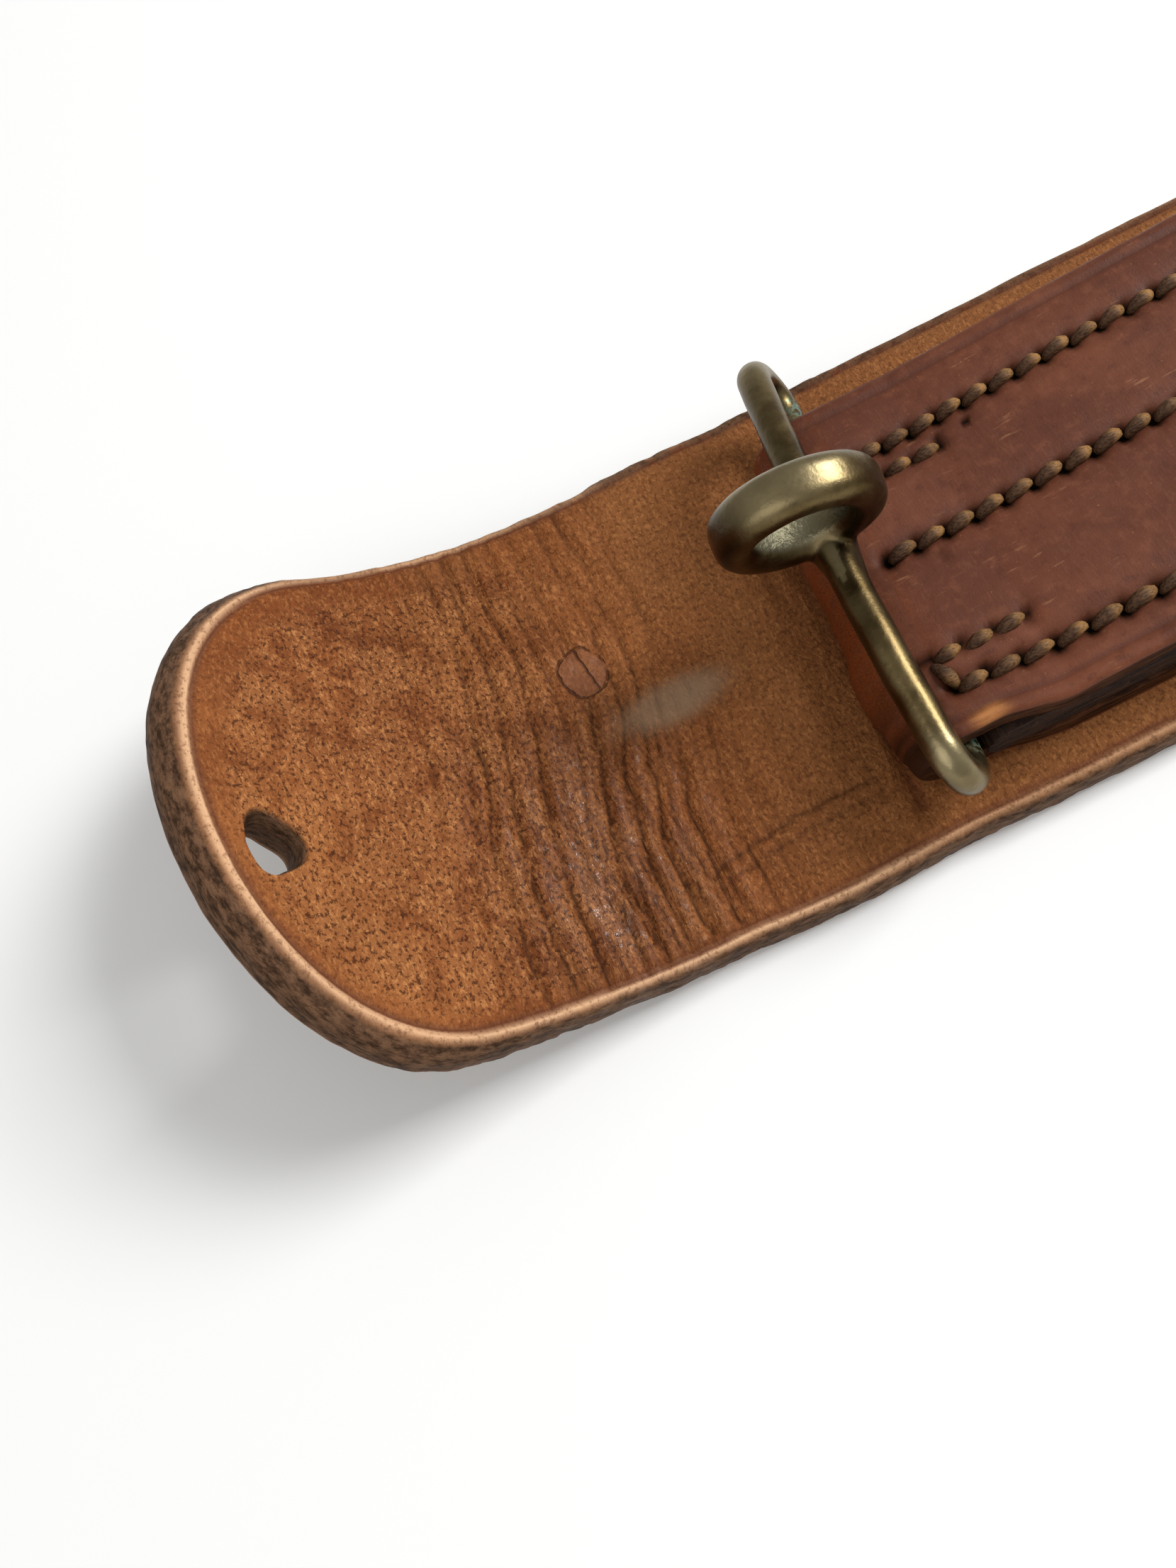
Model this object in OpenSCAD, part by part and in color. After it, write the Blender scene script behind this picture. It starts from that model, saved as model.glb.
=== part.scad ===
// Belly pad on a leather belt, lying flat with its outer face up.
// +X runs along the belt, +Y across it, +Z out of its outer face.
// The origin is under the middle of the pad, on the surface that it lies on.

/* [Belt] */
// Distance from the middle of the pad to each ring hinge
hinge_x = 378; // [340:1:450]
// Width of the backing leather along the wings
belt_w = 89; // [84:1:100]
// Thickness of the backing leather
base_t = 6.4; // [5.6:0.1:7.6]

/* [Tabs] */
// Length of leather from a tab's tip to the ring hinge
tab_len = 118; // [110:1:130]
// Angle that a tab's tip curls up
curl = 52; // [20:1:60]
// Length of leather over which the curl eases out to flat
curl_len = 92; // [84:1:96]
// Length of a tab's rounded end
corner_len = 33; // [24:1:44]
// Radius of the hole punched through each tab
hole_r = 4.8; // [3:0.1:6]
// Distance from a tab's tip to the middle of its hole, along the leather
hole_s = 11; // [10:0.5:24]
// Sideways shift of each tab's hole
hole_shift = -8; // [-12:0.5:12]

/* [Strap] */
// Width of the outer strap
strap_w = 64; // [58:1:64]
// Thickness of the outer strap
ply_t = 4; // [3.4:0.1:4]
// Sideways shift of the strap on the backing
strap_shift = -4.5; // [-4.5:0.1:-2]
// Narrowing of the strap's lower edge, where it is folded through a link
nip = 1.8; // [1.8:0.1:3]
// Length of strap folded back under each ring link
fold_back = 82; // [40:1:110]
// Rise of the strap for each millimetre along it, where it leaves the fold
wedge = 0.076; // [0:0.001:0.09]

/* [Ring links] */
// Diameter of the link's rod
rod_d = 5.6; // [5.4:0.1:5.8]
// Radius of the bends at the ends of a link, to the middle of the rod
bend_r = 5.4; // [5.2:0.1:6]
// Distance from the middle of a link to the centre of each bend
bend_y = 33.9; // [33.9:0.1:36]
// Height of the bowed upper bar over the lower bar, at its middle
bow_h = 15; // [14:0.1:15.2]
// Outer radius of the ring
ring_r = 13.1; // [12.4:0.1:14]
// Radius of the ring's eye
eye_r = 7; // [6:0.1:7]
// Width of the ring's band
ring_w = 7.8; // [7:0.1:9]
// Height of the ring's centre over the lower bar
ring_h = 25.9; // [25.8:0.1:26.4]
// Distance of the ring's centre from the middle of its bar
ring_shift = 0.4; // [-1:0.1:1]
// Angle that a ring is cast tipped over along its bar
tip = 12; // [0:1:14]
// Angle that a ring is cast turned on its bar
twist = 8; // [0:0.5:10]
// Sideways shift of a link on the backing
link_shift = -0.8; // [-0.8:0.1:0]
// Angle that a link stands leaning towards its tab's tip
lean = 25.5; // [0:0.5:40]
// Angle that each fold is sewn off square
skew = 5.6; // [0:0.1:6]

/* [Pad] */
// Half length of the cushion
pad_a = 188; // [170:1:190]
// Half width of the cushion
pad_b = 116; // [90:1:130]
// Height of the cushion over the backing
pad_h = 45; // [36:1:52]
// Thickness of the cushion's cover
cover_t = 2.6; // [2:0.1:3]
// Radius of the rolled welt round the cushion
welt_r = 3.3; // [2.5:0.1:4]

/* [Stitching] */
// Length of one stitch, hole to hole
stitch = 5; // [4:0.1:6]
// Width of the thread
thread_w = 2.2; // [1.6:0.1:2.4]
// Depth of the groove that the thread lies in
groove = 1; // [0.5:0.1:1.2]

/* [Hidden] */
$fn = 48;

tan_leather = [0.62, 0.36, 0.18];
dark_leather = [0.36, 0.17, 0.12];
old_brass = [0.42, 0.36, 0.2];
brown_thread = [0.34, 0.22, 0.12];
raw_felt = [0.6, 0.55, 0.46];

rod_r = rod_d / 2;
fit = 0.35;                       // running clearance between the rod and the leather
touch = 0.1;                      // gap between layers of leather
flex_gap = 0.3;                   // gap round the bead that a tab bends on
bore_r = rod_r + fit;
fold_r = bore_r + ply_t;
axis_z = base_t + fold_r + touch; // height of the hinge axis
flat_run = 16;                    // level run of the strap beside the fold
nip_run = 5;                      // run of the nipped edge past the hinge axis
ply_start = 0.4;                  // start of the flat plies past the hinge axis
wedge_run = 300;                  // distance over which the strap's rise dies away
flange = 15;                      // backing leather that shows round the cushion
welt_out = 4;                     // welt's distance outside the cushion
seam_out = 10.5;                  // pad seam's distance outside the cushion
filler_end = hinge_x - pad_a - 18;
oval_n = 2.4;                     // squareness of the pad's outline
crown_n = 2.5;                    // squareness of the cushion's crown
bead_s = 72;                      // place of the bead, along the leather from the tip
lip_s = bead_s + 2.6;             // place where the panel begins beyond the bead
strap_lo = strap_shift - strap_w / 2;
strap_hi = strap_shift + strap_w / 2;
fold_lo = strap_lo + nip;
ring_edge = 2.7;                  // radius of the ring band's rounded edges
far = 60;                         // reach of cutting shapes

// Both ends are alike: side -1 is the left end and side 1 the right end.
module at_end(side) {
    if (side < 0) translate([-hinge_x, 0, 0]) children();
    else mirror([1, 0, 0]) translate([-hinge_x, 0, 0]) children();
}

module at_link() {
    translate([0, link_shift, axis_z]) rotate([0, 0, -skew]) children();
}

module across(y_lo, y_hi) {
    translate([0, y_hi, 0]) rotate([90, 0, 0]) linear_extrude(y_hi - y_lo) children();
}

// Place of the hinge axis along the belt, at a place across it
function axis_x(y) = (y - link_shift) * tan(skew);

// ---- The tab's curl: s is the distance from the tip, along the leather ----
curl_n = 23;
curl_step = curl_len / curl_n;
function ease(t) = let (c = min(max(t, 0), 1)) c * c * (3 - 2 * c);
function slope(s) = curl * (1 - ease((s + 5) / (curl_len + 5)));
function curl_point(i) = i >= curl_n ? [curl_len - tab_len, base_t]
    : let (a = slope((i + 0.5) * curl_step)) curl_point(i + 1) + curl_step * [-cos(a), sin(a)];
curl_x = [for (i = [0:curl_n]) [i * curl_step, curl_point(i)[0]]];
curl_z = [for (i = [0:curl_n]) [i * curl_step, curl_point(i)[1]]];
function skin(s, depth) = [lookup(s, curl_x) - depth * sin(slope(s)),
    lookup(s, curl_z) - depth * cos(slope(s))];
function half_width(s) = belt_w / 2 * (s >= corner_len ? 1 : sqrt(1 - pow(1 - s / corner_len, 2)));

// ---- The pad's outline and crown ----
function oval(a, b, n) = [for (i = [0:n - 1]) let (t = 360 * i / n)
    [a * sign(cos(t)) * pow(abs(cos(t)), 2 / oval_n), b * sign(sin(t)) * pow(abs(sin(t)), 2 / oval_n)]];
function oval_half(x, a, b) = abs(x) >= a ? 0 : b * pow(1 - pow(abs(x) / a, oval_n), 1 / oval_n);
function panel_half(x) =
    pow(pow(belt_w / 2, 6) + pow(oval_half(x, pad_a + flange, pad_b + flange), 6), 1 / 6);
function crown(x) = abs(x) >= pad_a ? 0 : pad_h * pow(1 - pow(abs(x) / pad_a, crown_n), 1 / crown_n);

// ---- The strap's line: level by the fold, rising on its filler, then over the cushion ----
function filler_top(u) =
    fold_r + touch + bore_r + wedge * wedge_run * (1 - exp(-max(u - flat_run, 0) / wedge_run));
function strap_under(x) =
    base_t + pow(pow(filler_top(hinge_x - abs(x)), 8) + pow(crown(x) + touch, 8), 1 / 8);
function strap_top(x) = strap_under(x) + ply_t;
strap_step = 6;
strap_half = hinge_x - flat_run;
strap_n = 2 * ceil(strap_half / strap_step);
strap_xs = [for (i = [0:strap_n]) -strap_half + 2 * strap_half * i / strap_n];

// ---- Modules ----
module backing_panel() {
    ss = [lip_s, 76, 80, 84, 88, curl_len];
    last = len(ss) - 1;
    side_view = concat(
        [for (s = ss) skin(s, 0) - [hinge_x, 0]],
        [for (i = [last:-1:0]) [hinge_x - skin(ss[i], 0)[0], skin(ss[i], 0)[1]]],
        [for (s = ss) [hinge_x - skin(s, base_t)[0], skin(s, base_t)[1]]],
        [for (i = [last:-1:0]) skin(ss[i], base_t) - [hinge_x, 0]]);
    plan_n = 60;
    reach = pad_a + flange;
    xs = [for (i = [0:plan_n]) -reach * cos(180 * i / plan_n)];
    end_x = hinge_x + tab_len;
    plan = concat([[-end_x, -belt_w / 2]], [for (x = xs) [x, -panel_half(x)]], [[end_x, -belt_w / 2]],
        [[end_x, belt_w / 2]], [for (i = [plan_n:-1:0]) [xs[i], panel_half(xs[i])]], [[-end_x, belt_w / 2]]);
    bead = skin(bead_s, base_t / 2);
    color(tan_leather) difference() {
        intersection() {
            across(-pad_b - flange - 1, pad_b + flange + 1) polygon(side_view);
            translate([0, 0, -far]) linear_extrude(2 * far) polygon(plan);
        }
        for (side = [-1, 1]) at_end(side) translate([bead[0], 0, bead[1]]) rotate([90, 0, 0])
            cylinder(r = base_t / 2 + flex_gap, h = 2 * far, center = true);
    }
}

// One tab: a curled sheet with a rounded end, a hole, and a bead to bend on
module tab(side) {
    n = 18;
    ss = [for (i = [0:n]) bead_s * i / n];
    side_view = concat([for (s = ss) skin(s, 0)], [for (i = [n:-1:0]) skin(ss[i], base_t)]);
    // The rounded end is cut square to the leather, so its plan is drawn along the end's own slope.
    // The plan is a little wider than the belt, so that it crosses the belt's sides cleanly.
    tilt = slope(corner_len / 2);
    over = 1.006;
    function along(s) = let (p = skin(s, base_t / 2)) p[0] * cos(tilt) - p[1] * sin(tilt);
    round_n = 14;
    rs = [for (i = [1:round_n]) corner_len * (1 - cos(90 * i / round_n))];
    plan = concat([[along(0), 0]], [for (s = rs) [along(s), over * half_width(s)]],
        [[far, over * belt_w / 2], [far, -over * belt_w / 2]],
        [for (i = [round_n - 1:-1:0]) [along(rs[i]), -over * half_width(rs[i])]]);
    bead = skin(bead_s, base_t / 2);
    hole = skin(hole_s, base_t / 2);
    color(tan_leather) at_end(side) difference() {
        union() {
            intersection() {
                across(-belt_w / 2, belt_w / 2) polygon(side_view);
                rotate([0, tilt, 0]) translate([0, 0, -2 * far]) linear_extrude(4 * far) polygon(plan);
            }
            translate([bead[0], 0, bead[1]]) rotate([90, 0, 0])
                cylinder(r = base_t / 2, h = belt_w, center = true);
        }
        translate([hole[0], hole_shift, hole[1]]) rotate([0, slope(hole_s), 0])
            cylinder(r = hole_r, h = 4 * base_t, center = true);
    }
}
module left_tab() { tab(-1); }
module right_tab() { tab(1); }

// A flat ply beside one fold: its end follows the skewed hinge axis, and is nipped in at its lower corner
module fold_ply(z, length) {
    translate([0, 0, z]) linear_extrude(ply_t) polygon(concat(
        [[axis_x(fold_lo) + ply_start, fold_lo], [nip_run, fold_lo], [flat_run, strap_lo]],
        length > flat_run ? [[length, strap_lo], [length, strap_hi]] : [[flat_run, strap_hi]],
        [[axis_x(strap_hi) + ply_start, strap_hi]]));
}

// A groove for one row of stitches, from its start by the left fold to its start by the right one
module groove_cut(y, start) {
    n = strap_n;
    half = hinge_x - start;
    xs = [for (i = [0:n]) half * (2 * i / n - 1)];
    across(y - thread_w / 2 - 0.3, y + thread_w / 2 + 0.3) polygon(concat(
        [for (x = xs) [x, strap_top(x) + 5]], [for (i = [n:-1:0]) [xs[i], strap_top(xs[i]) - groove]]));
}

row_y = [strap_shift + 21, strap_shift + 1.5, strap_shift - 24]; // upper, middle and lower rows
row_start = [6, 4, 2];                                           // each row's start, after the hinge axis
back_y = [-5.6, 0, 6];                                           // short return rows beside the long rows
back_u = [6, 0, 6];                                              // start of each return row
back_n = [2, 0, 3];                                              // stitches in each return row

module top_strap() {
    xs = strap_xs;
    n = strap_n;
    color(dark_leather) difference() {
        union() {
            across(strap_lo, strap_hi) polygon(concat([for (x = xs) [x, strap_top(x)]],
                [for (i = [n:-1:0]) [xs[i], strap_under(xs[i])]]));
            for (side = [-1, 1]) at_end(side) {
                fold_ply(axis_z + bore_r, flat_run);
                fold_ply(axis_z - fold_r, fold_back);
                intersection() {
                    at_link() rotate([90, 0, 0]) cylinder(r = fold_r, h = 2 * strap_w, center = true);
                    translate([-far, fold_lo, 0]) cube([2 * far, strap_hi - fold_lo, far]);
                }
            }
        }
        for (side = [-1, 1]) at_end(side) at_link() rotate([90, 0, 0])
            cylinder(r = bore_r, h = 2 * strap_w, center = true);
        for (k = [0:2]) groove_cut(row_y[k], row_start[k] - 0.5);
    }
}

// Layers of leather between and behind the plies, as one built-up block
module filler(side) {
    top_n = 12;
    us = [for (i = [0:top_n]) 3.2 + (filler_end - 3.2) * i / top_n];
    low = axis_z - bore_r + touch;
    color(dark_leather) at_end(side) difference() {
        across(strap_lo, strap_hi) polygon(concat(
            [for (u = us) [u, base_t + filler_top(u) - touch]],
            [[filler_end, base_t + touch], [fold_back + touch, base_t + touch],
             [fold_back + touch, low], [3.2, low]]));
        at_link() rotate([90, 0, 0]) cylinder(r = fold_r + touch, h = 2 * strap_w, center = true);
    }
}
module left_filler() { filler(-1); }
module right_filler() { filler(1); }

// One cast link: a lower bar in the fold, end bends, a bowed upper bar, and a ring standing on it
module ring_link(side) {
    bow_r = (bend_y * bend_y / (bow_h - 2 * bend_r) + bow_h) / 2;
    bow_a = asin(bend_y / (bow_r - bend_r));
    color(old_brass) at_end(side) at_link() rotate([0, -lean, 0]) {
        rotate([90, 0, 0]) cylinder(r = rod_r, h = 2 * bend_y, center = true);
        for (m = [0, 1]) mirror([0, m, 0]) translate([0, bend_y, bend_r]) {
            rod_arc(bend_r, -90, 180 - bow_a);
            // a slight swelling where each bend runs into the bars
            for (a = [-90, 90 - bow_a])
                translate(bend_r * [0, cos(a), sin(a)]) sphere(r = rod_r + 0.03);
        }
        difference() {
            union() {
                translate([0, 0, bow_h - bow_r]) rod_arc(bow_r, 90 - bow_a, 2 * bow_a);
                at_ring() rotate_extrude($fn = 72) translate([eye_r, 0])
                    rounded_band(ring_r - eye_r, ring_w, ring_edge);
                // root that flares from the bar into the ring, kept under the eye
                translate([0, 1.5, bow_h - 1.2]) for (m = [0, 1]) mirror([0, m, 0]) rotate([-85, 0, 0])
                    cylinder(r1 = rod_r + 1.4, r2 = rod_r - 0.1, h = 9);
            }
            at_ring() cylinder(r = eye_r, h = ring_w, center = true);
        }
    }
}

module at_ring() {
    translate([0, ring_shift, ring_h]) rotate([0, 0, -twist]) rotate([90 + tip, 0, 0]) children();
}

// Rod bent to an arc in the YZ plane, from an angle above +Y and through an angle
module rod_arc(r, from, angle) {
    rotate([90, 0, 90]) rotate([0, 0, from])
        rotate_extrude(angle = angle, $fn = r > 30 ? 400 : 48) translate([r, 0]) circle(r = rod_r);
}

module rounded_band(t, w, e) {
    translate([0, -w / 2 + e]) square([t, w - 2 * e]);
    translate([e, -w / 2]) square([t - 2 * e, w]);
    for (x = [e, t - e], y = [-w / 2 + e, w / 2 - e]) translate([x, y]) circle(r = e);
}
module left_ring_link() { ring_link(-1); }
module right_ring_link() { ring_link(1); }

// Points of one ring of a dome, at a level from 0 (its foot) to 1 (its crown)
function dome_ring(a, b, h, level, n) =
    let (f = 90 * level, k = pow(cos(f), 2 / crown_n), z = h * pow(sin(f), 2 / crown_n))
    [for (p = oval(a * k, b * k, n)) [p[0], p[1], base_t + touch + z]];
dome_n = 64;
dome_levels = [0, 0.08, 0.18, 0.3, 0.42, 0.55, 0.68, 0.8, 0.9, 0.97];

module cushion_core() {
    d = cover_t + 0.4;
    rings = [for (l = dome_levels) dome_ring(pad_a - d, pad_b - d, pad_h - d, l, dome_n)];
    top = len(rings) * dome_n;
    points = concat([for (r = rings, p = r) p],
        [[0, 0, base_t + touch + pad_h - d], [0, 0, base_t + touch]]);
    color(raw_felt) polyhedron(points, concat(
        [for (j = [0:len(rings) - 2], i = [0:dome_n - 1]) let (k = (i + 1) % dome_n)
            [j * dome_n + i, (j + 1) * dome_n + i, (j + 1) * dome_n + k, j * dome_n + k]],
        [for (i = [0:dome_n - 1]) let (k = (i + 1) % dome_n, last = (len(rings) - 1) * dome_n)
            [last + i, top, last + k]],
        [for (i = [0:dome_n - 1]) [i, (i + 1) % dome_n, top + 1]]));
}

module cushion_cover() {
    outer = [for (l = dome_levels) dome_ring(pad_a, pad_b, pad_h, l, dome_n)];
    inner = [for (l = dome_levels) dome_ring(pad_a - cover_t, pad_b - cover_t, pad_h - cover_t, l, dome_n)];
    m = len(outer);
    half = m * dome_n;
    tops = 2 * half;
    points = concat([for (r = outer, p = r) p], [for (r = inner, p = r) p],
        [[0, 0, base_t + touch + pad_h], [0, 0, base_t + touch + pad_h - cover_t]]);
    color(tan_leather) polyhedron(points, concat(
        [for (j = [0:m - 2], i = [0:dome_n - 1]) let (k = (i + 1) % dome_n)
            [j * dome_n + i, (j + 1) * dome_n + i, (j + 1) * dome_n + k, j * dome_n + k]],
        [for (i = [0:dome_n - 1]) let (k = (i + 1) % dome_n, last = (m - 1) * dome_n)
            [last + i, tops, last + k]],
        [for (j = [0:m - 2], i = [0:dome_n - 1]) let (k = (i + 1) % dome_n)
            [half + j * dome_n + k, half + (j + 1) * dome_n + k,
             half + (j + 1) * dome_n + i, half + j * dome_n + i]],
        [for (i = [0:dome_n - 1]) let (k = (i + 1) % dome_n, last = half + (m - 1) * dome_n)
            [last + k, tops + 1, last + i]],
        [for (i = [0:dome_n - 1]) let (k = (i + 1) % dome_n) [i, k, half + k, half + i]]));
}

// A round welt swept along the cushion's outline
module pad_welt() {
    n = 96;
    sides = 10;
    path = oval(pad_a + welt_out, pad_b + welt_out, n);
    function way(i) = let (d = path[(i + 1) % n] - path[(i + n - 1) % n]) d / norm(d);
    points = [for (i = [0:n - 1], j = [0:sides - 1]) let (w = way(i), c = welt_r * cos(360 * j / sides))
        [path[i][0] + w[1] * c, path[i][1] - w[0] * c,
         base_t + touch + welt_r * (1 + sin(360 * j / sides))]];
    color(dark_leather) polyhedron(points, [for (i = [0:n - 1], j = [0:sides - 1])
        let (k = (i + 1) % n, l = (j + 1) % sides)
        [i * sides + j, i * sides + l, k * sides + l, k * sides + j]]);
}

// One row of stitches: a thread that lies in the strap's groove, with a hump for each stitch
module row(y, start) {
    half = hinge_x - start;
    n = floor(2 * half / stitch);
    first = -n * stitch / 2;
    humps = [[0, 0.2], [0.22, 1.6], [0.78, 1.6]]; // place along a stitch, height over the thread's bottom
    floor_gap = 0.15;
    across(y - thread_w / 2, y + thread_w / 2) polygon(concat(
        [for (i = [0:n - 1], h = humps) let (x = first + (i + h[0]) * stitch)
            [x, strap_top(x) - groove + floor_gap + h[1]]],
        [for (i = [n:-1:0]) let (x = first + i * stitch) [x, strap_top(x) - groove + floor_gap]]));
}

// The short return row beside a long row, lying on the strap
module return_rows(k) {
    for (side = [-1, 1], i = [0:1:back_n[k] - 1]) at_end(side)
        translate([back_u[k] + axis_x(row_y[k]) + (i + 0.5) * stitch, row_y[k] + back_y[k], 0]) {
            x = -hinge_x + back_u[k] + axis_x(row_y[k]) + (i + 0.5) * stitch;
            translate([-stitch * 0.4, -thread_w / 2, strap_top(x + stitch / 2) + 0.02])
                cube([stitch * 0.8, thread_w, 0.6]);
        }
}

module seam(k) {
    color(brown_thread) {
        row(row_y[k], row_start[k]);
        return_rows(k);
    }
}
module upper_seam() { seam(0); }
module middle_seam() { seam(1); }
module lower_seam() { seam(2); }

// Stitches that hold the cushion's cover to the backing
module pad_seam() {
    n = 150;
    path = oval(pad_a + seam_out, pad_b + seam_out, n);
    color(brown_thread) for (i = [0:n - 1]) {
        d = path[(i + 1) % n] - path[i];
        mid = (path[(i + 1) % n] + path[i]) / 2;
        translate([mid[0], mid[1], base_t + touch + 0.45]) rotate([0, 0, atan2(d[1], d[0])])
            cube([norm(d) * 0.72, 1.6, 0.9], center = true);
    }
}

backing_panel();
left_tab();
right_tab();
top_strap();
left_filler();
right_filler();
left_ring_link();
right_ring_link();
cushion_core();
cushion_cover();
pad_welt();
upper_seam();
middle_seam();
lower_seam();
pad_seam();
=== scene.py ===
"""Looks of the belly pad: worn leather, old brass and waxed thread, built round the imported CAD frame.

Lengths are in millimetres, and meshes are scaled by MM. Both ends of the belt are alike:
a point at an end is (x, y, z), with x from the ring hinge towards the pad, and place() puts it at
side -1 (left) or side 1 (right). On the backing, s is the distance from a tab's tip along the leather.
"""

import math

import bmesh
import bpy
import numpy as np
from mathutils import Matrix, Vector


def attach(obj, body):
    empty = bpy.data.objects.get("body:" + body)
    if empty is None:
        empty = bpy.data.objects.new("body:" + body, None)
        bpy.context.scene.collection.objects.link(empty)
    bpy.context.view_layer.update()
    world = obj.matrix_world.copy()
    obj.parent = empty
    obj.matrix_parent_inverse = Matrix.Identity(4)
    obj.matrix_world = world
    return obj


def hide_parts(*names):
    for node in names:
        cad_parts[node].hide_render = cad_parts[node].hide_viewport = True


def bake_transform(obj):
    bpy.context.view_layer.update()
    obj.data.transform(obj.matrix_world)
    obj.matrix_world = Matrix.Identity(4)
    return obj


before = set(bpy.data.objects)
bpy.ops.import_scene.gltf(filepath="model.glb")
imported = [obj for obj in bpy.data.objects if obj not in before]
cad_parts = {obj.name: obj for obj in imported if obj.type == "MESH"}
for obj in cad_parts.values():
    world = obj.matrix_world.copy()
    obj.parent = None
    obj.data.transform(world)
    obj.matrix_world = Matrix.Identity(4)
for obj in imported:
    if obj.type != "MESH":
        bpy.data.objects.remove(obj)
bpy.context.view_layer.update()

MM = 0.001
SIDES = {-1: "left", 1: "right"}

# ---- Driving dimensions, as in the CAD part ----
HINGE_X = 378.0
BELT_HALF = 44.5
BASE_T = 6.4
TAB_LEN = 118.0
CURL = math.radians(52)
CURL_LEN = 92.0
CORNER_LEN = 33.0
HOLE_S, HOLE_Y, HOLE_R = 11.0, -8.0, 4.8
STRAP_MID, STRAP_HALF = -4.5, 32.0
PLY_T = 4.0
NIP, NIP_RUN = 1.8, 5.0
FOLD_BACK = 82.0
WEDGE, WEDGE_RUN, FLAT_RUN = 0.076, 300.0, 16.0
ROD_R = 2.8
BORE_R = 3.15
TOUCH = 0.1
FOLD_R = BORE_R + PLY_T
AXIS_Z = BASE_T + FOLD_R + TOUCH
BEND_R, BEND_Y, BOW_H = 5.4, 33.9, 15.0
BOW_R = (BEND_Y**2 / (BOW_H - 2 * BEND_R) + BOW_H) / 2
RING_R, EYE_R, RING_W, RING_H = 13.1, 7.0, 7.8, 25.9
RING_SHIFT, RING_EDGE = 0.4, 2.7
LINK_SHIFT = -0.8
LEAN, SKEW, TWIST, TIP = (math.radians(a) for a in (25.5, 5.6, 8, 12))
PAD_A, PAD_B, PAD_H = 188.0, 116.0, 45.0
FLANGE, WELT_OUT, WELT_R, SEAM_OUT = 15.0, 4.0, 3.3, 10.5
OVAL_N, CROWN_N = 2.4, 2.5
STITCH = 5.0
STRAP_LO, STRAP_HI = STRAP_MID - STRAP_HALF, STRAP_MID + STRAP_HALF
FILLER_END = HINGE_X - PAD_A - 18
BELT_MID = HINGE_X + TAB_LEN      # distance from a tip to the middle of the belt


# ---- Numbers ----
def ease(t):
    c = np.clip(t, 0, 1)
    return c * c * (3 - 2 * c)


def near(distance, width):
    """1 at distance 0, fading over about that width."""
    return np.exp(-np.square(distance / width))


def noise(x, y, seed):
    """Smooth noise from -1 to 1, with features about one unit across."""
    n = 128
    grid = np.random.default_rng(seed).uniform(-1, 1, (n, n))
    xi, yi = np.floor(x).astype(int), np.floor(y).astype(int)
    fx, fy = ease(x - xi), ease(y - yi)
    low = grid[xi % n, yi % n] * (1 - fx) + grid[(xi + 1) % n, yi % n] * fx
    high = grid[xi % n, (yi + 1) % n] * (1 - fx) + grid[(xi + 1) % n, (yi + 1) % n] * fx
    return low * (1 - fy) + high * fy


def fbm(x, y, seed, octaves=3):
    """Noise with finer noise on it, each octave half as strong."""
    x, y = np.asarray(x, float), np.asarray(y, float)
    total = sum(noise(x * 2**k + 7.3 * k, y * 2**k + 3.1 * k, seed + k) / 2**k for k in range(octaves))
    return total / (2 - 2 ** (1 - octaves))


def cells(x, y, seed):
    """How much further off the second nearest scattered point is than the nearest: 0 between two cells."""
    n = 97
    jitter_x, jitter_y = np.random.default_rng(seed).random((2, n, n))
    xi, yi = np.floor(x).astype(int), np.floor(y).astype(int)
    first = np.full(np.shape(x), 9.0)
    second = first.copy()
    for i in (-1, 0, 1):
        for j in (-1, 0, 1):
            a, b = xi + i, yi + j
            d = np.hypot(a + jitter_x[a % n, b % n] - x, b + jitter_y[a % n, b % n] - y)
            second = np.minimum(second, np.maximum(first, d))
            first = np.minimum(first, d)
    return second - first


# ---- Lines and surfaces shared by the pieces ----
def slope(s):
    return CURL * (1 - ease((s + 5) / (CURL_LEN + 5)))


CURL_STEP = 0.5
curl_s = np.arange(0, CURL_LEN + CURL_STEP / 2, CURL_STEP)
curl_a = slope(curl_s[:-1] + CURL_STEP / 2)
curl_x = CURL_LEN - TAB_LEN - CURL_STEP * np.append(np.cumsum(np.cos(curl_a)[::-1])[::-1], 0)
curl_z = BASE_T + CURL_STEP * np.append(np.cumsum(np.sin(curl_a)[::-1])[::-1], 0)


def skin(s, depth):
    """(x, z) at an end, at a distance along the backing and a depth under its outer face."""
    x = np.where(s < CURL_LEN, np.interp(s, curl_s, curl_x), s - TAB_LEN)
    z = np.interp(s, curl_s, curl_z)
    return x - depth * np.sin(slope(s)), z - depth * np.cos(slope(s))


def place(side, x, y, z):
    """Points at an end, as points in the row frame."""
    x = np.asarray(x, float)
    return np.stack([HINGE_X - x if side > 0 else x - HINGE_X, np.broadcast_to(y, x.shape),
                     np.broadcast_to(z, x.shape)], axis=-1)


def oval(a, b, t):
    """Points of the pad's squared oval, at angles t."""
    turned = np.stack([np.cos(t), np.sin(t)], -1)
    return (a, b) * np.sign(turned) * np.abs(turned) ** (2 / OVAL_N)


def oval_half(x, a, b):
    return b * np.clip(1 - np.abs(x / a) ** OVAL_N, 0, 1) ** (1 / OVAL_N)


def backing_half(s):
    """Half the width of the backing behind its rounded end."""
    return (BELT_HALF**6 + oval_half(s - BELT_MID, PAD_A + FLANGE, PAD_B + FLANGE) ** 6) ** (1 / 6)


def crown(x):
    return PAD_H * np.clip(1 - np.abs(x / PAD_A) ** CROWN_N, 0, 1) ** (1 / CROWN_N)


def filler_top(u):
    rise = WEDGE * WEDGE_RUN * (1 - np.exp(-np.maximum(u - FLAT_RUN, 0) / WEDGE_RUN))
    return FOLD_R + TOUCH + BORE_R + rise


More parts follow.
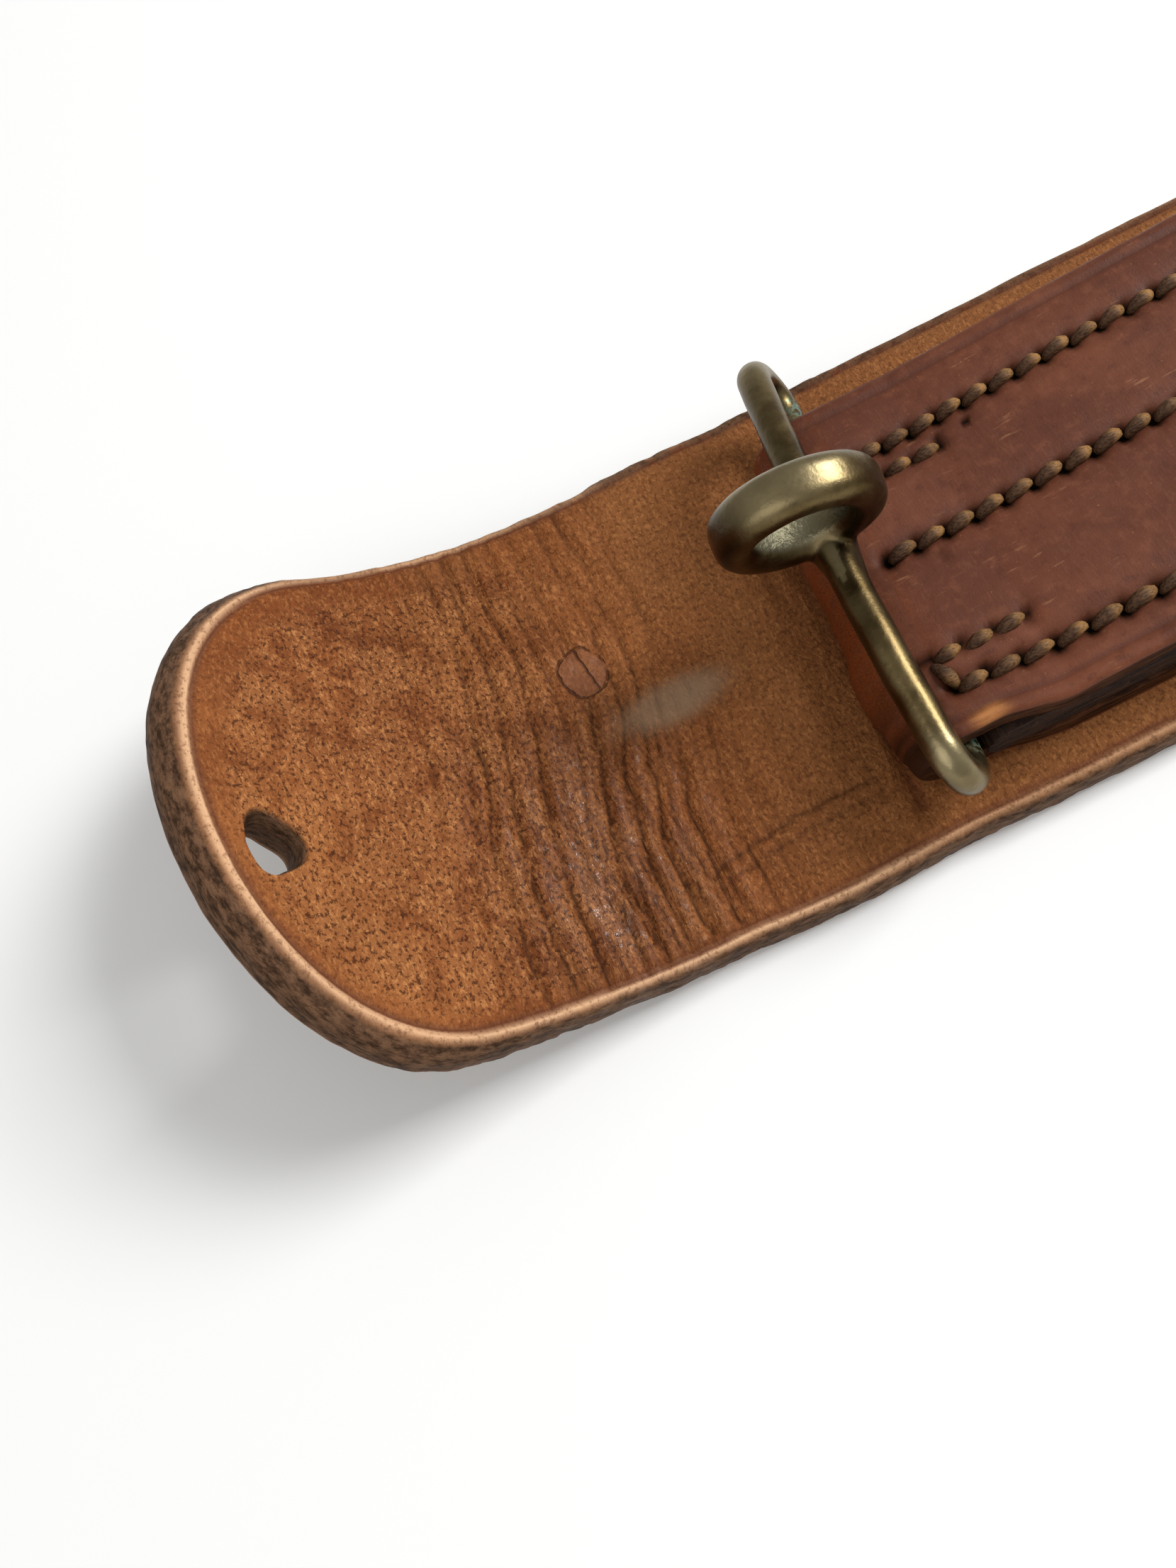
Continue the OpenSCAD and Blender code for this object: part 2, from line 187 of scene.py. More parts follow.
def strap_under(x):
    return BASE_T + (filler_top(HINGE_X - np.abs(x)) ** 8 + (crown(x) + TOUCH) ** 8) ** (1 / 8)


def axis_x(y):
    """Place of the skewed hinge axis along the belt."""
    return (y - LINK_SHIFT) * math.tan(SKEW)


# ---- Meshes ----
def add(name, data):
    """A new object in the scene."""
    obj = bpy.data.objects.new(name, data)
    bpy.context.scene.collection.objects.link(obj)
    return obj


def raw_mesh(name, points, faces):
    mesh = bpy.data.meshes.new(name)
    mesh.from_pydata(points.tolist(), [], faces)
    return mesh


def turn_outward(mesh):
    b = bmesh.new()
    b.from_mesh(mesh)
    bmesh.ops.recalc_face_normals(b, faces=b.faces)
    b.to_mesh(mesh)
    b.free()


def dress(mesh, name, material, points, **masks):
    """A smooth object of the mesh, with its rest place in mm in the attribute "at" and one for each mask."""
    turn_outward(mesh)
    mesh.polygons.foreach_set("use_smooth", np.ones(len(mesh.polygons), bool))
    masks.setdefault("at", points)
    for key, value in masks.items():
        value = np.asarray(value, np.float32)
        kind, field = ("FLOAT_VECTOR", "vector") if value.ndim == 2 else ("FLOAT", "value")
        mesh.attributes.new(key, kind, "POINT").data.foreach_set(field, value.ravel())
    mesh.materials.append(material)
    return add(name, mesh)


def make(name, points, faces, material, **masks):
    """The same, from points in mm and faces."""
    points = points.reshape(-1, 3)
    return dress(raw_mesh(name, points * MM, faces), name, material, points, **masks)


def grid_faces(rows, columns, first=0, around=False):
    """Quads between rows of points, and round each row if it is a closed loop."""
    index = first + np.arange(rows * columns).reshape(rows, columns)
    if around:
        index = np.hstack([index, index[:, :1]])
    return strip_faces(index)


def strip_faces(index):
    """Quads between neighbours in a table of point numbers."""
    return np.stack([index[:-1, :-1], index[:-1, 1:], index[1:, 1:], index[1:, :-1]], -1).reshape(-1, 4)


def sleeve_faces(rows, columns):
    """Faces of a closed body whose rows of points are loops, with a cap on its first and last row."""
    caps = [list(range(columns))[::-1], list(range((rows - 1) * columns, rows * columns))]
    return grid_faces(rows, columns, around=True).tolist() + caps


def tube(path, radii, sides, closed=False, turn=None):
    """Points of a round tube along a path, and its faces. turn gives it the lobes of a twisted thread."""
    radii = np.broadcast_to(radii, (len(path),))
    way = np.roll(path, -1, 0) - np.roll(path, 1, 0) if closed else np.gradient(path, axis=0)
    way /= np.linalg.norm(way, axis=1)[:, None]
    up = np.array([0.0, 0.0, 1.0]) if np.abs(way[:, 2]).max() < 0.95 else np.array([1.0, 0.0, 0.0])
    aside = np.cross(way, up)
    aside /= np.linalg.norm(aside, axis=1)[:, None]
    angle = np.linspace(0, 2 * np.pi, sides, endpoint=False)
    ring = np.cos(angle)[:, None] * aside[:, None] + np.sin(angle)[:, None] * np.cross(aside, way)[:, None]
    lobes = np.ones(sides) if turn is None else 1 + 0.07 * np.cos(3 * (angle + turn[:, None]))
    points = (path[:, None] + ring * (radii[:, None] * lobes)[..., None]).reshape(-1, 3)
    if closed:
        return points, (grid_faces(len(path) + 1, sides, around=True) % len(points)).tolist()
    return points, sleeve_faces(len(path), sides)


def joined(parts):
    """Several (points, faces) as one."""
    points, faces, first = [], [], 0
    for p, f in parts:
        points.append(p)
        faces += [[i + first for i in face] for face in f]
        first += len(p)
    return np.vstack(points), faces


def coordinates(mesh):
    co = np.empty(len(mesh.vertices) * 3)
    mesh.vertices.foreach_get("co", co)
    return co.reshape(-1, 3)


def evaluated(obj):
    """The object's mesh with its modifiers applied. The object itself is removed."""
    mesh = bpy.data.meshes.new_from_object(obj.evaluated_get(bpy.context.evaluated_depsgraph_get()))
    bpy.data.objects.remove(obj)
    return mesh


# ---- Materials ----
PRINT_S, PRINT_Y, PRINT_R = 70.6, 10.0, 4.0      # place and size of the round imprint on each tab


class Paint:
    """A node material with short calls for the few nodes that the finishes need."""

    def __init__(self, name, roughness=0.5, specular=0.5, metallic=0.0):
        self.material = bpy.data.materials.new(name)
        self.material.use_nodes = True
        self.nodes = self.material.node_tree.nodes
        self.links = self.material.node_tree.links
        self.shader = self.nodes["Principled BSDF"]
        self.set("Roughness", roughness)
        self.set("Specular IOR Level", specular)
        self.set("Metallic", metallic)
        self.at = self.attribute("at", "Vector")

    def put(self, socket, value):
        if isinstance(value, bpy.types.NodeSocket):
            self.links.new(value, socket)
        elif isinstance(value, tuple) and len(value) == 3 and socket.type == "RGBA":
            socket.default_value = (*value, 1)
        else:
            socket.default_value = value

    def set(self, name, value):
        self.put(self.shader.inputs[name], value)

    def node(self, kind, values, output=0, **settings):
        """A node with its settings and some of its inputs, by number. Returns one of its outputs."""
        node = self.nodes.new("ShaderNode" + kind)
        for key, setting in settings.items():
            setattr(node, key, setting)
        for number, value in values.items():
            self.put(node.inputs[number], value)
        return node.outputs[output]

    def attribute(self, name, output="Fac"):
        return self.node("Attribute", {}, output, attribute_name=name)

    def noise(self, size, stretch=(1, 1, 1), detail=3.0, roughness=0.55, warp=0.0):
        """Noise with features about size mm across, stretched along x, y or z."""
        scale = [1 / (size * k) for k in stretch]
        at = self.node("VectorMath", {0: self.at, 1: scale}, operation="MULTIPLY")
        values = {"Vector": at, "Scale": 1.0, "Detail": detail, "Roughness": roughness, "Distortion": warp}
        return self.node("TexNoise", values, "Fac")

    def between(self, value, low, high, to_low=0.0, to_high=1.0):
        """to_low where value is under low, to_high over high, smooth in between."""
        values = dict(enumerate((value, low, high, to_low, to_high)))
        return self.node("MapRange", values, interpolation_type="SMOOTHSTEP")

    def math(self, operation, a, b=0.0):
        return self.node("Math", {0: a, 1: b}, operation=operation)

    def times(self, a, b):
        return self.math("MULTIPLY", a, b)

    def mix(self, share, a, b):
        return self.node("Mix", {0: share, 6: a, 7: b}, 2, data_type="RGBA")

    def ramp(self, value, low, high, a, b):
        """Colour a where value is under low, b over high."""
        return self.mix(self.between(value, low, high), a, b)

    def stack(self, colour, layers):
        """The base colour, then (share, colour, strength) layers on it. A share may be a mask's name."""
        for share, over, strength in layers:
            share = self.attribute(share) if isinstance(share, str) else share
            colour = self.mix(self.times(share, strength), colour, over)
        self.set("Base Color", colour)

    def relief(self, *heights):
        """Bumps, each a (height, depth in mm) laid on the one before."""
        below = {}
        for height, depth in heights:
            bump = self.node("Bump", {"Strength": 1.0, "Distance": depth * MM, "Height": height, **below})
            below = {"Normal": bump}
        self.set("Normal", bump)


def backing_material():
    """Tan saddle leather: rubbed to a pale nap at the tip, browner by the fold (partly painted shade of the
    link and strap), with a dark cut edge.
    """
    p = Paint("backing_leather", specular=0.1)
    mottle = p.noise(3.2, detail=4, roughness=0.65)
    patch = p.noise(6, stretch=(1, 1.4, 1), detail=6, roughness=0.68, warp=0.6)
    fibre = p.noise(0.55, stretch=(1, 2.2, 1), roughness=0.7, warp=0.6)
    specks = p.noise(0.75, stretch=(1, 1.3, 1), roughness=0.75)
    lines = p.noise(1.1, stretch=(1, 7, 1), roughness=0.6, warp=0.5)
    layers = p.noise(0.9, stretch=(3, 3, 0.8), detail=5, roughness=0.75)
    creased, nap, waxed = (p.attribute(name) for name in ("creased", "nap", "wax"))
    rubbed = p.times(nap, p.between(patch, 0.4, 0.6))
    fibres = p.times(p.between(fibre, 0.5, 0.62), p.between(rubbed, 0, 1, 0.45, 1.0))
    dark_specks = p.times(p.between(specks, 0.5, 0.39), p.between(nap, 0, 1, 0.5, 1.0))
    rim = p.times(p.attribute("rim"), p.between(specks, 0.34, 0.5, 0.45, 1.0))
    print_disc, print_line = imprint(p)
    p.stack(p.ramp(p.noise(14, detail=4), 0.35, 0.65, (0.155, 0.04, 0.009), (0.215, 0.062, 0.0145)), [
        (p.between(mottle, 0.5, 0.72), (0.32, 0.106, 0.028), 0.4),
        (p.between(mottle, 0.47, 0.3), (0.14, 0.037, 0.008), 0.5),
        ("light", (0.42, 0.155, 0.046), 0.36),
        # darker towards the fold and in blotches: by the fold and the link this is partly painted shade of
        # the link and strap
        ("dark", (0.23, 0.087, 0.027), 0.85),
        (rubbed, (0.36, 0.145, 0.048), 0.4),
        (p.times(nap, p.between(patch, 0.48, 0.34)), (0.115, 0.031, 0.008), 0.6),
        (fibres, (0.56, 0.24, 0.08), 0.62),
        (dark_specks, (0.045, 0.011, 0.003), 0.85),
        (p.times(creased, p.between(lines, 0.44, 0.34)), (0.1, 0.032, 0.01), 0.4),
        ("crack", (0.035, 0.01, 0.003), 0.88),
        ("stain", (0.34, 0.23, 0.14), 0.8),
        (print_disc, (0.19, 0.072, 0.034), 0.5),
        (print_line, (0.05, 0.015, 0.006), 0.75),
        (rim, (0.8, 0.49, 0.28), 0.92),
        ("line", (0.09, 0.02, 0.007), 0.85),
        ("edge", p.ramp(layers, 0.35, 0.65, (0.024, 0.012, 0.006), (0.15, 0.078, 0.042)), 0.97),
        ("under", p.ramp(mottle, 0.3, 0.7, (0.13, 0.07, 0.038), (0.21, 0.125, 0.072)), 1.0),
    ])
    glint = p.times(waxed, p.between(p.noise(1.3, stretch=(1, 1.6, 1), roughness=0.6), 0.56, 0.62))
    p.set("Roughness", p.between(glint, 0.0, 1.0, 0.6, 0.16))
    p.set("Specular IOR Level", p.math("ADD", 0.08, p.math("MAXIMUM", glint, p.times(waxed, 0.3))))
    p.relief((mottle, 0.14), (p.times(creased, lines), 0.6), (fibre, 0.2), (specks, 0.16),
             (p.noise(0.28, detail=2), 0.04), (p.math("SUBTRACT", 1.0, print_line), 0.3))
    return p.material


def imprint(p):
    """Shares of a round mark pressed into each tab: its disc, and the thin lines round and across it."""
    place_in_print = p.attribute("print", "Vector")
    along, across = (p.node("SeparateXYZ", {0: place_in_print}, axis) for axis in (0, 1))
    wobble = p.noise(2.2, detail=2)
    square = p.math("ADD", p.times(along, along), p.times(0.7, p.times(across, across)))
    radius = p.math("ADD", p.math("SQRT", square), p.times(wobble, 1.1))
    edge = PRINT_R + 0.55
    disc = p.between(radius, edge, PRINT_R + 0.3)
    ring = p.between(p.math("ABSOLUTE", p.math("SUBTRACT", radius, edge)), 0.36, 0.06)
    ring = p.times(ring, p.between(p.noise(3, detail=2), 0.36, 0.56, 0.15, 1.0))
    slant = p.math("SUBTRACT", p.math("ADD", along, p.times(across, 0.12)), 1.2)
    bar = p.between(p.math("ABSOLUTE", p.math("ADD", slant, p.times(wobble, 0.9))), 0.3, 0.06)
    return disc, p.math("MAXIMUM", ring, p.times(bar, disc))


def strap_material():
    """Dark red-brown waxed strap leather, scuffed, worn to orange on its folds in a darker orange that is
    partly painted shade, with painted shade in its stitch holes.
    """
    p = Paint("strap_leather", specular=0.1)
    blotch = p.noise(18, stretch=(1.5, 1, 1), detail=4)
    mottle = p.noise(2.4, detail=4, roughness=0.65)
    pores = p.noise(0.3, detail=2)
    streak = p.noise(0.7, stretch=(9, 1, 1))
    fine = p.noise(0.5, stretch=(1, 5, 1))
    layers = p.noise(0.8, stretch=(7, 7, 0.5), detail=4, roughness=0.7)
    scuff = p.times(p.between(streak, 0.6, 0.72), p.between(p.noise(5), 0.52, 0.64))
    specks = p.between(p.noise(0.7, detail=2, roughness=0.8), 0.7, 0.75)
    worn = p.times(p.attribute("worn"), p.between(mottle, 0.3, 0.6, 0.6, 1.0))
    fold_end_shade, wall, hole = (p.attribute(name) for name in ("fold_end_shade", "wall", "hole"))
    p.stack(p.ramp(blotch, 0.35, 0.65, (0.1, 0.0305, 0.0155), (0.15, 0.0465, 0.022)), [
        (p.between(mottle, 0.5, 0.72), (0.18, 0.06, 0.029), 0.5),
        (p.between(mottle, 0.46, 0.3), (0.07, 0.021, 0.012), 0.5),
        (p.between(fine, 0.55, 0.75), (0.18, 0.063, 0.034), 0.3),
        (scuff, (0.33, 0.15, 0.07), 0.5),
        (specks, (0.34, 0.15, 0.06), 0.5),
        ("line", (0.06, 0.019, 0.012), 0.6),
        # worn to orange on the fold, in a darker orange that is partly painted shade
        (worn, p.ramp(pores, 0.3, 0.7, (0.09, 0.016, 0.001), (0.2, 0.042, 0.004)), 0.95),
        # painted shade: near black at the lower end of the fold, where it tucks under the link's bar
        (fold_end_shade, (0.018, 0.007, 0.003), 0.9),
        ("bare", p.ramp(streak, 0.3, 0.6, (0.2, 0.07, 0.02), (0.4, 0.16, 0.05)), 0.95),
        (wall, p.ramp(layers, 0.38, 0.62, (0.009, 0.0035, 0.0015), (0.06, 0.021, 0.008)), 0.95),
        # painted shade: the stitch and awl holes are made near black
        (hole, (0.004, 0.002, 0.001), 1.0),
    ])
    matt = p.math("MAXIMUM", p.math("MAXIMUM", hole, fold_end_shade), p.math("MAXIMUM", worn, wall))
    p.set("Roughness", p.between(mottle, 0.3, 0.7, 0.42, 0.56))
    p.set("Specular IOR Level", p.between(matt, 0.0, 0.6, 0.13, 0.03))
    p.relief((mottle, 0.05), (streak, 0.03), (fine, 0.03), (pores, 0.025))
    return p.material


def filler_material():
    """Built-up leather seen at its cut edge: rough, dark, in thin streaky layers."""
    p = Paint("filler_leather", 0.7, specular=0.15)
    layers = p.noise(1.0, stretch=(9, 9, 0.55), detail=5, roughness=0.7)
    grit = p.noise(1.2, detail=4, roughness=0.7)
    p.stack(p.ramp(layers, 0.38, 0.62, (0.009, 0.0035, 0.002), (0.045, 0.017, 0.007)),
            [(p.between(grit, 0.55, 0.75), (0.11, 0.048, 0.022), 0.6)])
    p.relief((layers, 0.6), (grit, 0.25))
    return p.material


def cover_material():
    """Softer tan leather over the stuffing, mottled, with painted shade in its puckers, its hollows and along
    the strap's edges.
    """
    p = Paint("cover_leather", specular=0.25)
    mottle = p.noise(4, detail=4, roughness=0.65)
    p.stack(p.ramp(p.noise(32, detail=4), 0.35, 0.65, (0.2, 0.064, 0.02), (0.29, 0.1, 0.032)), [
        (p.between(mottle, 0.5, 0.72), (0.36, 0.14, 0.05), 0.5),
        (p.between(mottle, 0.46, 0.3), (0.13, 0.038, 0.012), 0.5),
        # painted shade in the puckers, the hollows and along the strap's edges
        ("fold", (0.09, 0.028, 0.01), 0.7),
    ])
    p.set("Roughness", p.between(mottle, 0.3, 0.7, 0.44, 0.6))
    p.relief((mottle, 0.15), (p.noise(0.9), 0.09))
    return p.material


def welt_material():
    """Rolled dark leather, with a painted sheen: paler along its top."""
    p = Paint("welt_leather", 0.45, specular=0.3)
    mottle = p.noise(3, detail=4)
    # painted sheen: the top of the roll is made paler
    p.stack(p.ramp(mottle, 0.35, 0.65, (0.1, 0.036, 0.022), (0.185, 0.068, 0.038)),
            [("rubbed", (0.3, 0.11, 0.045), 0.5)])
    p.relief((mottle, 0.1), (p.noise(0.7), 0.06))
    return p.material


def brass_material():
    """Old cast brass: dark olive patina, paler on its upward faces and at the bends (partly rubbed, partly a
    painted highlight), with painted shade on the sides facing away from the pad, at the ring's neck and along
    the middle of the bars, green by the leather.
    """
    p = Paint("brass", metallic=1.0)
    cloud = p.noise(6, detail=4)
    grit = p.noise(0.7)
    grey = p.attribute("grey")
    green = p.times(p.attribute("green"), p.between(grit, 0.42, 0.52))
    p.stack(p.ramp(cloud, 0.35, 0.65, (0.085, 0.055, 0.02), (0.16, 0.115, 0.05)), [
        (p.between(grit, 0.58, 0.72), (0.05, 0.035, 0.015), 0.5),
        # painted shade: near black on the sides facing away from the pad, at the ring's neck and along the
        # middle of the bars
        ("painted_shade", (0.022, 0.011, 0.003), 0.92),
        # paler on upward faces and at the bends: partly rubbed brass, partly a painted highlight
        ("rubbed", (0.36, 0.3, 0.17), 0.7),
        (grey, (0.3, 0.29, 0.2), 0.8),
        (green, (0.1, 0.17, 0.12), 0.9),
    ])
    p.set("Metallic", p.between(green, 0.2, 0.8, 1.0, 0.1))
    p.set("Roughness", p.math("ADD", p.between(cloud, 0.3, 0.7, 0.3, 0.4), p.times(grey, 0.2)))
    p.relief((cloud, 0.1), (grit, 0.04), (p.times(grey, grit), 0.35))
    return p.material


def thread_material():
    """Waxed linen: dark brown, gold on the later half of each stitch where it stands proud, partly wear and
    partly a painted highlight.
    """
    p = Paint("thread", 0.6, specular=0.2)
    fibre = p.noise(0.3, stretch=(3, 1, 1))
    # gold: partly wear, partly a painted highlight
    worn = p.times(p.attribute("worn"), p.between(fibre, 0.28, 0.6, 0.4, 1.0))
    p.stack(p.ramp(fibre, 0.3, 0.7, (0.03, 0.012, 0.005), (0.1, 0.047, 0.021)),
            [(worn, (0.36, 0.185, 0.06), 0.95)])
    p.relief((fibre, 0.15))
    return p.material


# ---- The backing: a flat slab is cut and roughened in (s, y, depth), then curled ----
RIM = 6.0                         # width of the border that follows the outline
GRID = 0.55                       # size of a face where the tab shows
COARSE = 3.4                      # and under the strap and pad
FINE_END = 138.0


def inset_of(s, y):
    """Distance inside the backing's outline, and the way out of it."""
    e = np.hypot((CORNER_LEN - s) / CORNER_LEN, y / BELT_HALF)
    out_s, out_y = (s - CORNER_LEN) / CORNER_LEN**2, y / BELT_HALF**2
    steep = np.maximum(np.hypot(out_s, out_y), 1e-6)
    tip = s < CORNER_LEN
    inset = np.where(tip, (1 - e) * e / steep, backing_half(s) - np.abs(y))
    return inset, np.where(tip, out_s / steep, 0), np.where(tip, out_y / steep, np.sign(y))


def slab():
    """Points (s, y, -depth) and faces of half the backing, from a tip to the middle of the belt."""
    tip_n = round((CORNER_LEN - RIM) / GRID)
    across_n = round(2 * (BELT_HALF - RIM) / GRID)
    q = np.linspace(-1, 1, across_n + 1)
    p = np.linspace(-1, 0, tip_n + 1)[:, None]
    disc_s, disc_y = p * np.sqrt(1 - q * q / 2), q * np.sqrt(1 - p * p / 2)
    fine_n = round((FINE_END - CORNER_LEN) / GRID)
    coarse_n = round((BELT_MID - FINE_END) / COARSE)
    run = np.concatenate([np.linspace(CORNER_LEN, FINE_END, fine_n + 1)[1:],
                          np.linspace(FINE_END, BELT_MID, coarse_n + 1)[1:]])[:, None]

    def inner(inset):
        s = np.vstack([CORNER_LEN + (CORNER_LEN - inset) * disc_s, run + 0 * q])
        y = np.vstack([(BELT_HALF - inset) * disc_y, (backing_half(run) - inset) * q])
        return s, y

    s, y = inner(RIM)
    rows, columns = s.shape
    index = np.arange(rows * columns).reshape(rows, columns)
    border = np.concatenate([index[::-1, -1], index[0, -2:0:-1], index[:, 0]])
    round_edge = [(5.2, 0), (4.7, 0), (4.3, 0), (3.9, 0), (3.4, 0), (2.8, 0), (2.1, 0.03), (1.4, 0.17),
                  (0.8, 0.42), (0.35, 0.85), (0.1, 1.4), (0, 2.2), (0, 3.2), (0, 4.3), (0.12, 5.4),
                  (0.4, 6.0), (1.1, 6.3), (2.4, BASE_T)]
    points = [np.stack([s, y, 0 * s], -1).reshape(-1, 3)]
    for inset, depth in round_edge:
        ring_s, ring_y = (a.ravel()[border] for a in inner(inset))
        points.append(np.stack([ring_s, ring_y, np.full(len(border), -depth)], -1))
    points.append(np.stack([s, y, 0 * s - BASE_T], -1).reshape(-1, 3))
    rings = rows * columns + np.arange(len(round_edge) * len(border)).reshape(len(round_edge), -1)
    below = rings[-1, -1] + 1
    strips = np.vstack([border, rings, below + border])
    faces = [grid_faces(rows, columns), grid_faces(rows, columns, below)[:, ::-1], strip_faces(strips)]
    end = np.concatenate([index[-1, ::-1], strips[1:, -1], below + index[-1, 1:], strips[-2:0:-1, 0]])
    return np.vstack(points), np.vstack(faces).tolist() + [end.tolist()]


def hole_cutter():
    """A worn, slightly three-sided plug, wider at both faces of the leather."""
    depths = np.arange(-1.6, BASE_T + 2, 0.8)[:, None]
    t = np.linspace(0, 2 * np.pi, 44, endpoint=False)
    top_lip = np.exp(-np.maximum(depths, 0) / 0.9)
    low_lip = np.exp(-np.maximum(BASE_T - depths, 0) / 0.7)
    torn = 0.1 * np.cos(3 * t + 0.5) + 0.05 * np.cos(2 * t + 1)
    torn = torn + 0.06 * fbm(6 * t / np.pi + 0 * depths, depths / 1.5 + 0 * t, 41, 2) * np.sin(t / 2)
    r = HOLE_R * (1 + torn) + 0.7 * top_lip - 0.6 * ease(depths / 3) + 0.3 * low_lip
    s, y = HOLE_S + 0.3 + 0.84 * r * np.cos(t), HOLE_Y + 0.6 + 1.08 * r * np.sin(t)
    return np.stack([s, y, -depths + 0 * t], -1).reshape(-1, 3), sleeve_faces(len(depths), len(t))


def punched_slab():
    """The slab with its hole, as a mesh in (s, y, -depth)."""
    body, plug = add("slab", raw_mesh("slab", *slab())), add("plug", raw_mesh("plug", *hole_cutter()))
    for obj in (body, plug):
        turn_outward(obj.data)
    cut = body.modifiers.new("hole", "BOOLEAN")
    cut.operation, cut.solver, cut.object = "DIFFERENCE", "EXACT", plug
    mesh = evaluated(body)
    bpy.data.objects.remove(plug)
    return mesh


def crease_inset(s, y):
    """Distance of the rim's crease from the edge: wide round the tip, narrow along the sides."""
    side_inset = np.where(y > 0, 1.8, 2.3)
    return side_inset + (2.9 - side_inset) * (1 - ease((s - 4) / 34)) + 0.3 * fbm(s / 11, y / 40, 50, 2)


# For each family of wrinkles: its spacing, how far a wrinkle runs, its width, its share, and how far it
# turns away from the tab's width.
WRINKLES = ((4.7, 26, 0.26, 1.0, 0.0), (3.2, 12, 0.22, 0.55, 0.09), (1.8, 7, 0.2, 0.4, -0.05),
            (6.5, 9, 0.22, 0.5, 0.38))


def fold_lines(along, y, spacing, reach, seed):
    """(distance to the nearest line, its strength): wavy lines across the tab, each fading in and out."""
    number = np.round(along / spacing)
    wave = 0.22 * fbm(y / 9, number * 5.3, seed, 2) + 0.07 * fbm(y / 1.9, number * 9.1, seed + 1, 2)
    away = along - spacing * (number + wave + 0.16 * noise(number * 3.7, 0 * y, seed + 2))
    return away, ease((fbm(y / reach, number * 3.7, seed + 3, 2) + 0.5) / 0.5)


def wrinkles(s, y, seed):
    """(height, crack, strength, ridge) of the creased stretch: long, nearly parallel folds across the tab."""
    along = s + 5 * (1 - np.tanh((y + 10) / 13)) + 2.4 * fbm(s / 24, y / 34, seed, 2)
    patch = 0.95 + 0.4 * fbm(s / 12, y / 16, seed + 20, 2)
    creased = ease((s - 30) / 20) * (1 - 0.75 * ease((s - 70) / 22)) * (1 - ease((s - 118) / 8))
    low_edge = near(s - 66, 18) * near(y + 30, 15)
    strength = creased * patch * (0.75 + 0.25 * near(y + 14, 26)) + 0.45 * low_edge
    height, crack, ridge = -0.3 * strength, 0 * s, 1 + 0 * s
    for k, (spacing, reach, width, share, turn) in enumerate(WRINKLES):
        away, shown = fold_lines(along + turn * y, y, spacing, reach, seed + 40 + 5 * k)
        shown = shown * share * (turn < 0.3) + share * ease(shown - 0.3) * (turn > 0.3)
        valley, line = near(away, 0.3 * spacing), near(away, width)
        height = height + strength * shown * (0.18 * spacing * (1 - valley) - 0.2 * line)
        crack = crack + 0.95 * strength * shown * line
        ridge = ridge * (1 - shown * valley)
    return height, np.clip(crack, 0, 1), strength, ridge


def scored(s, y):
    """Shares of the arcs that the swinging link scored into the tab, and of the strap end's pressed line."""
    swing = (105 - s) / 32
    on_swing = ease(swing / 0.12) * ease((1.02 - swing) / 0.12)
    away = y + 29.5 + 0.09 * (105 - s) - 1.5 * np.sin(np.pi * np.clip(swing, 0, 1))
    arcs = (near(away, 0.4) + 0.6 * near(away + 2.7, 0.4)) * on_swing
    return arcs, near(s - 110.5 - 0.09 * y, 1.2) * (np.abs(y - STRAP_MID) < STRAP_HALF + 1)


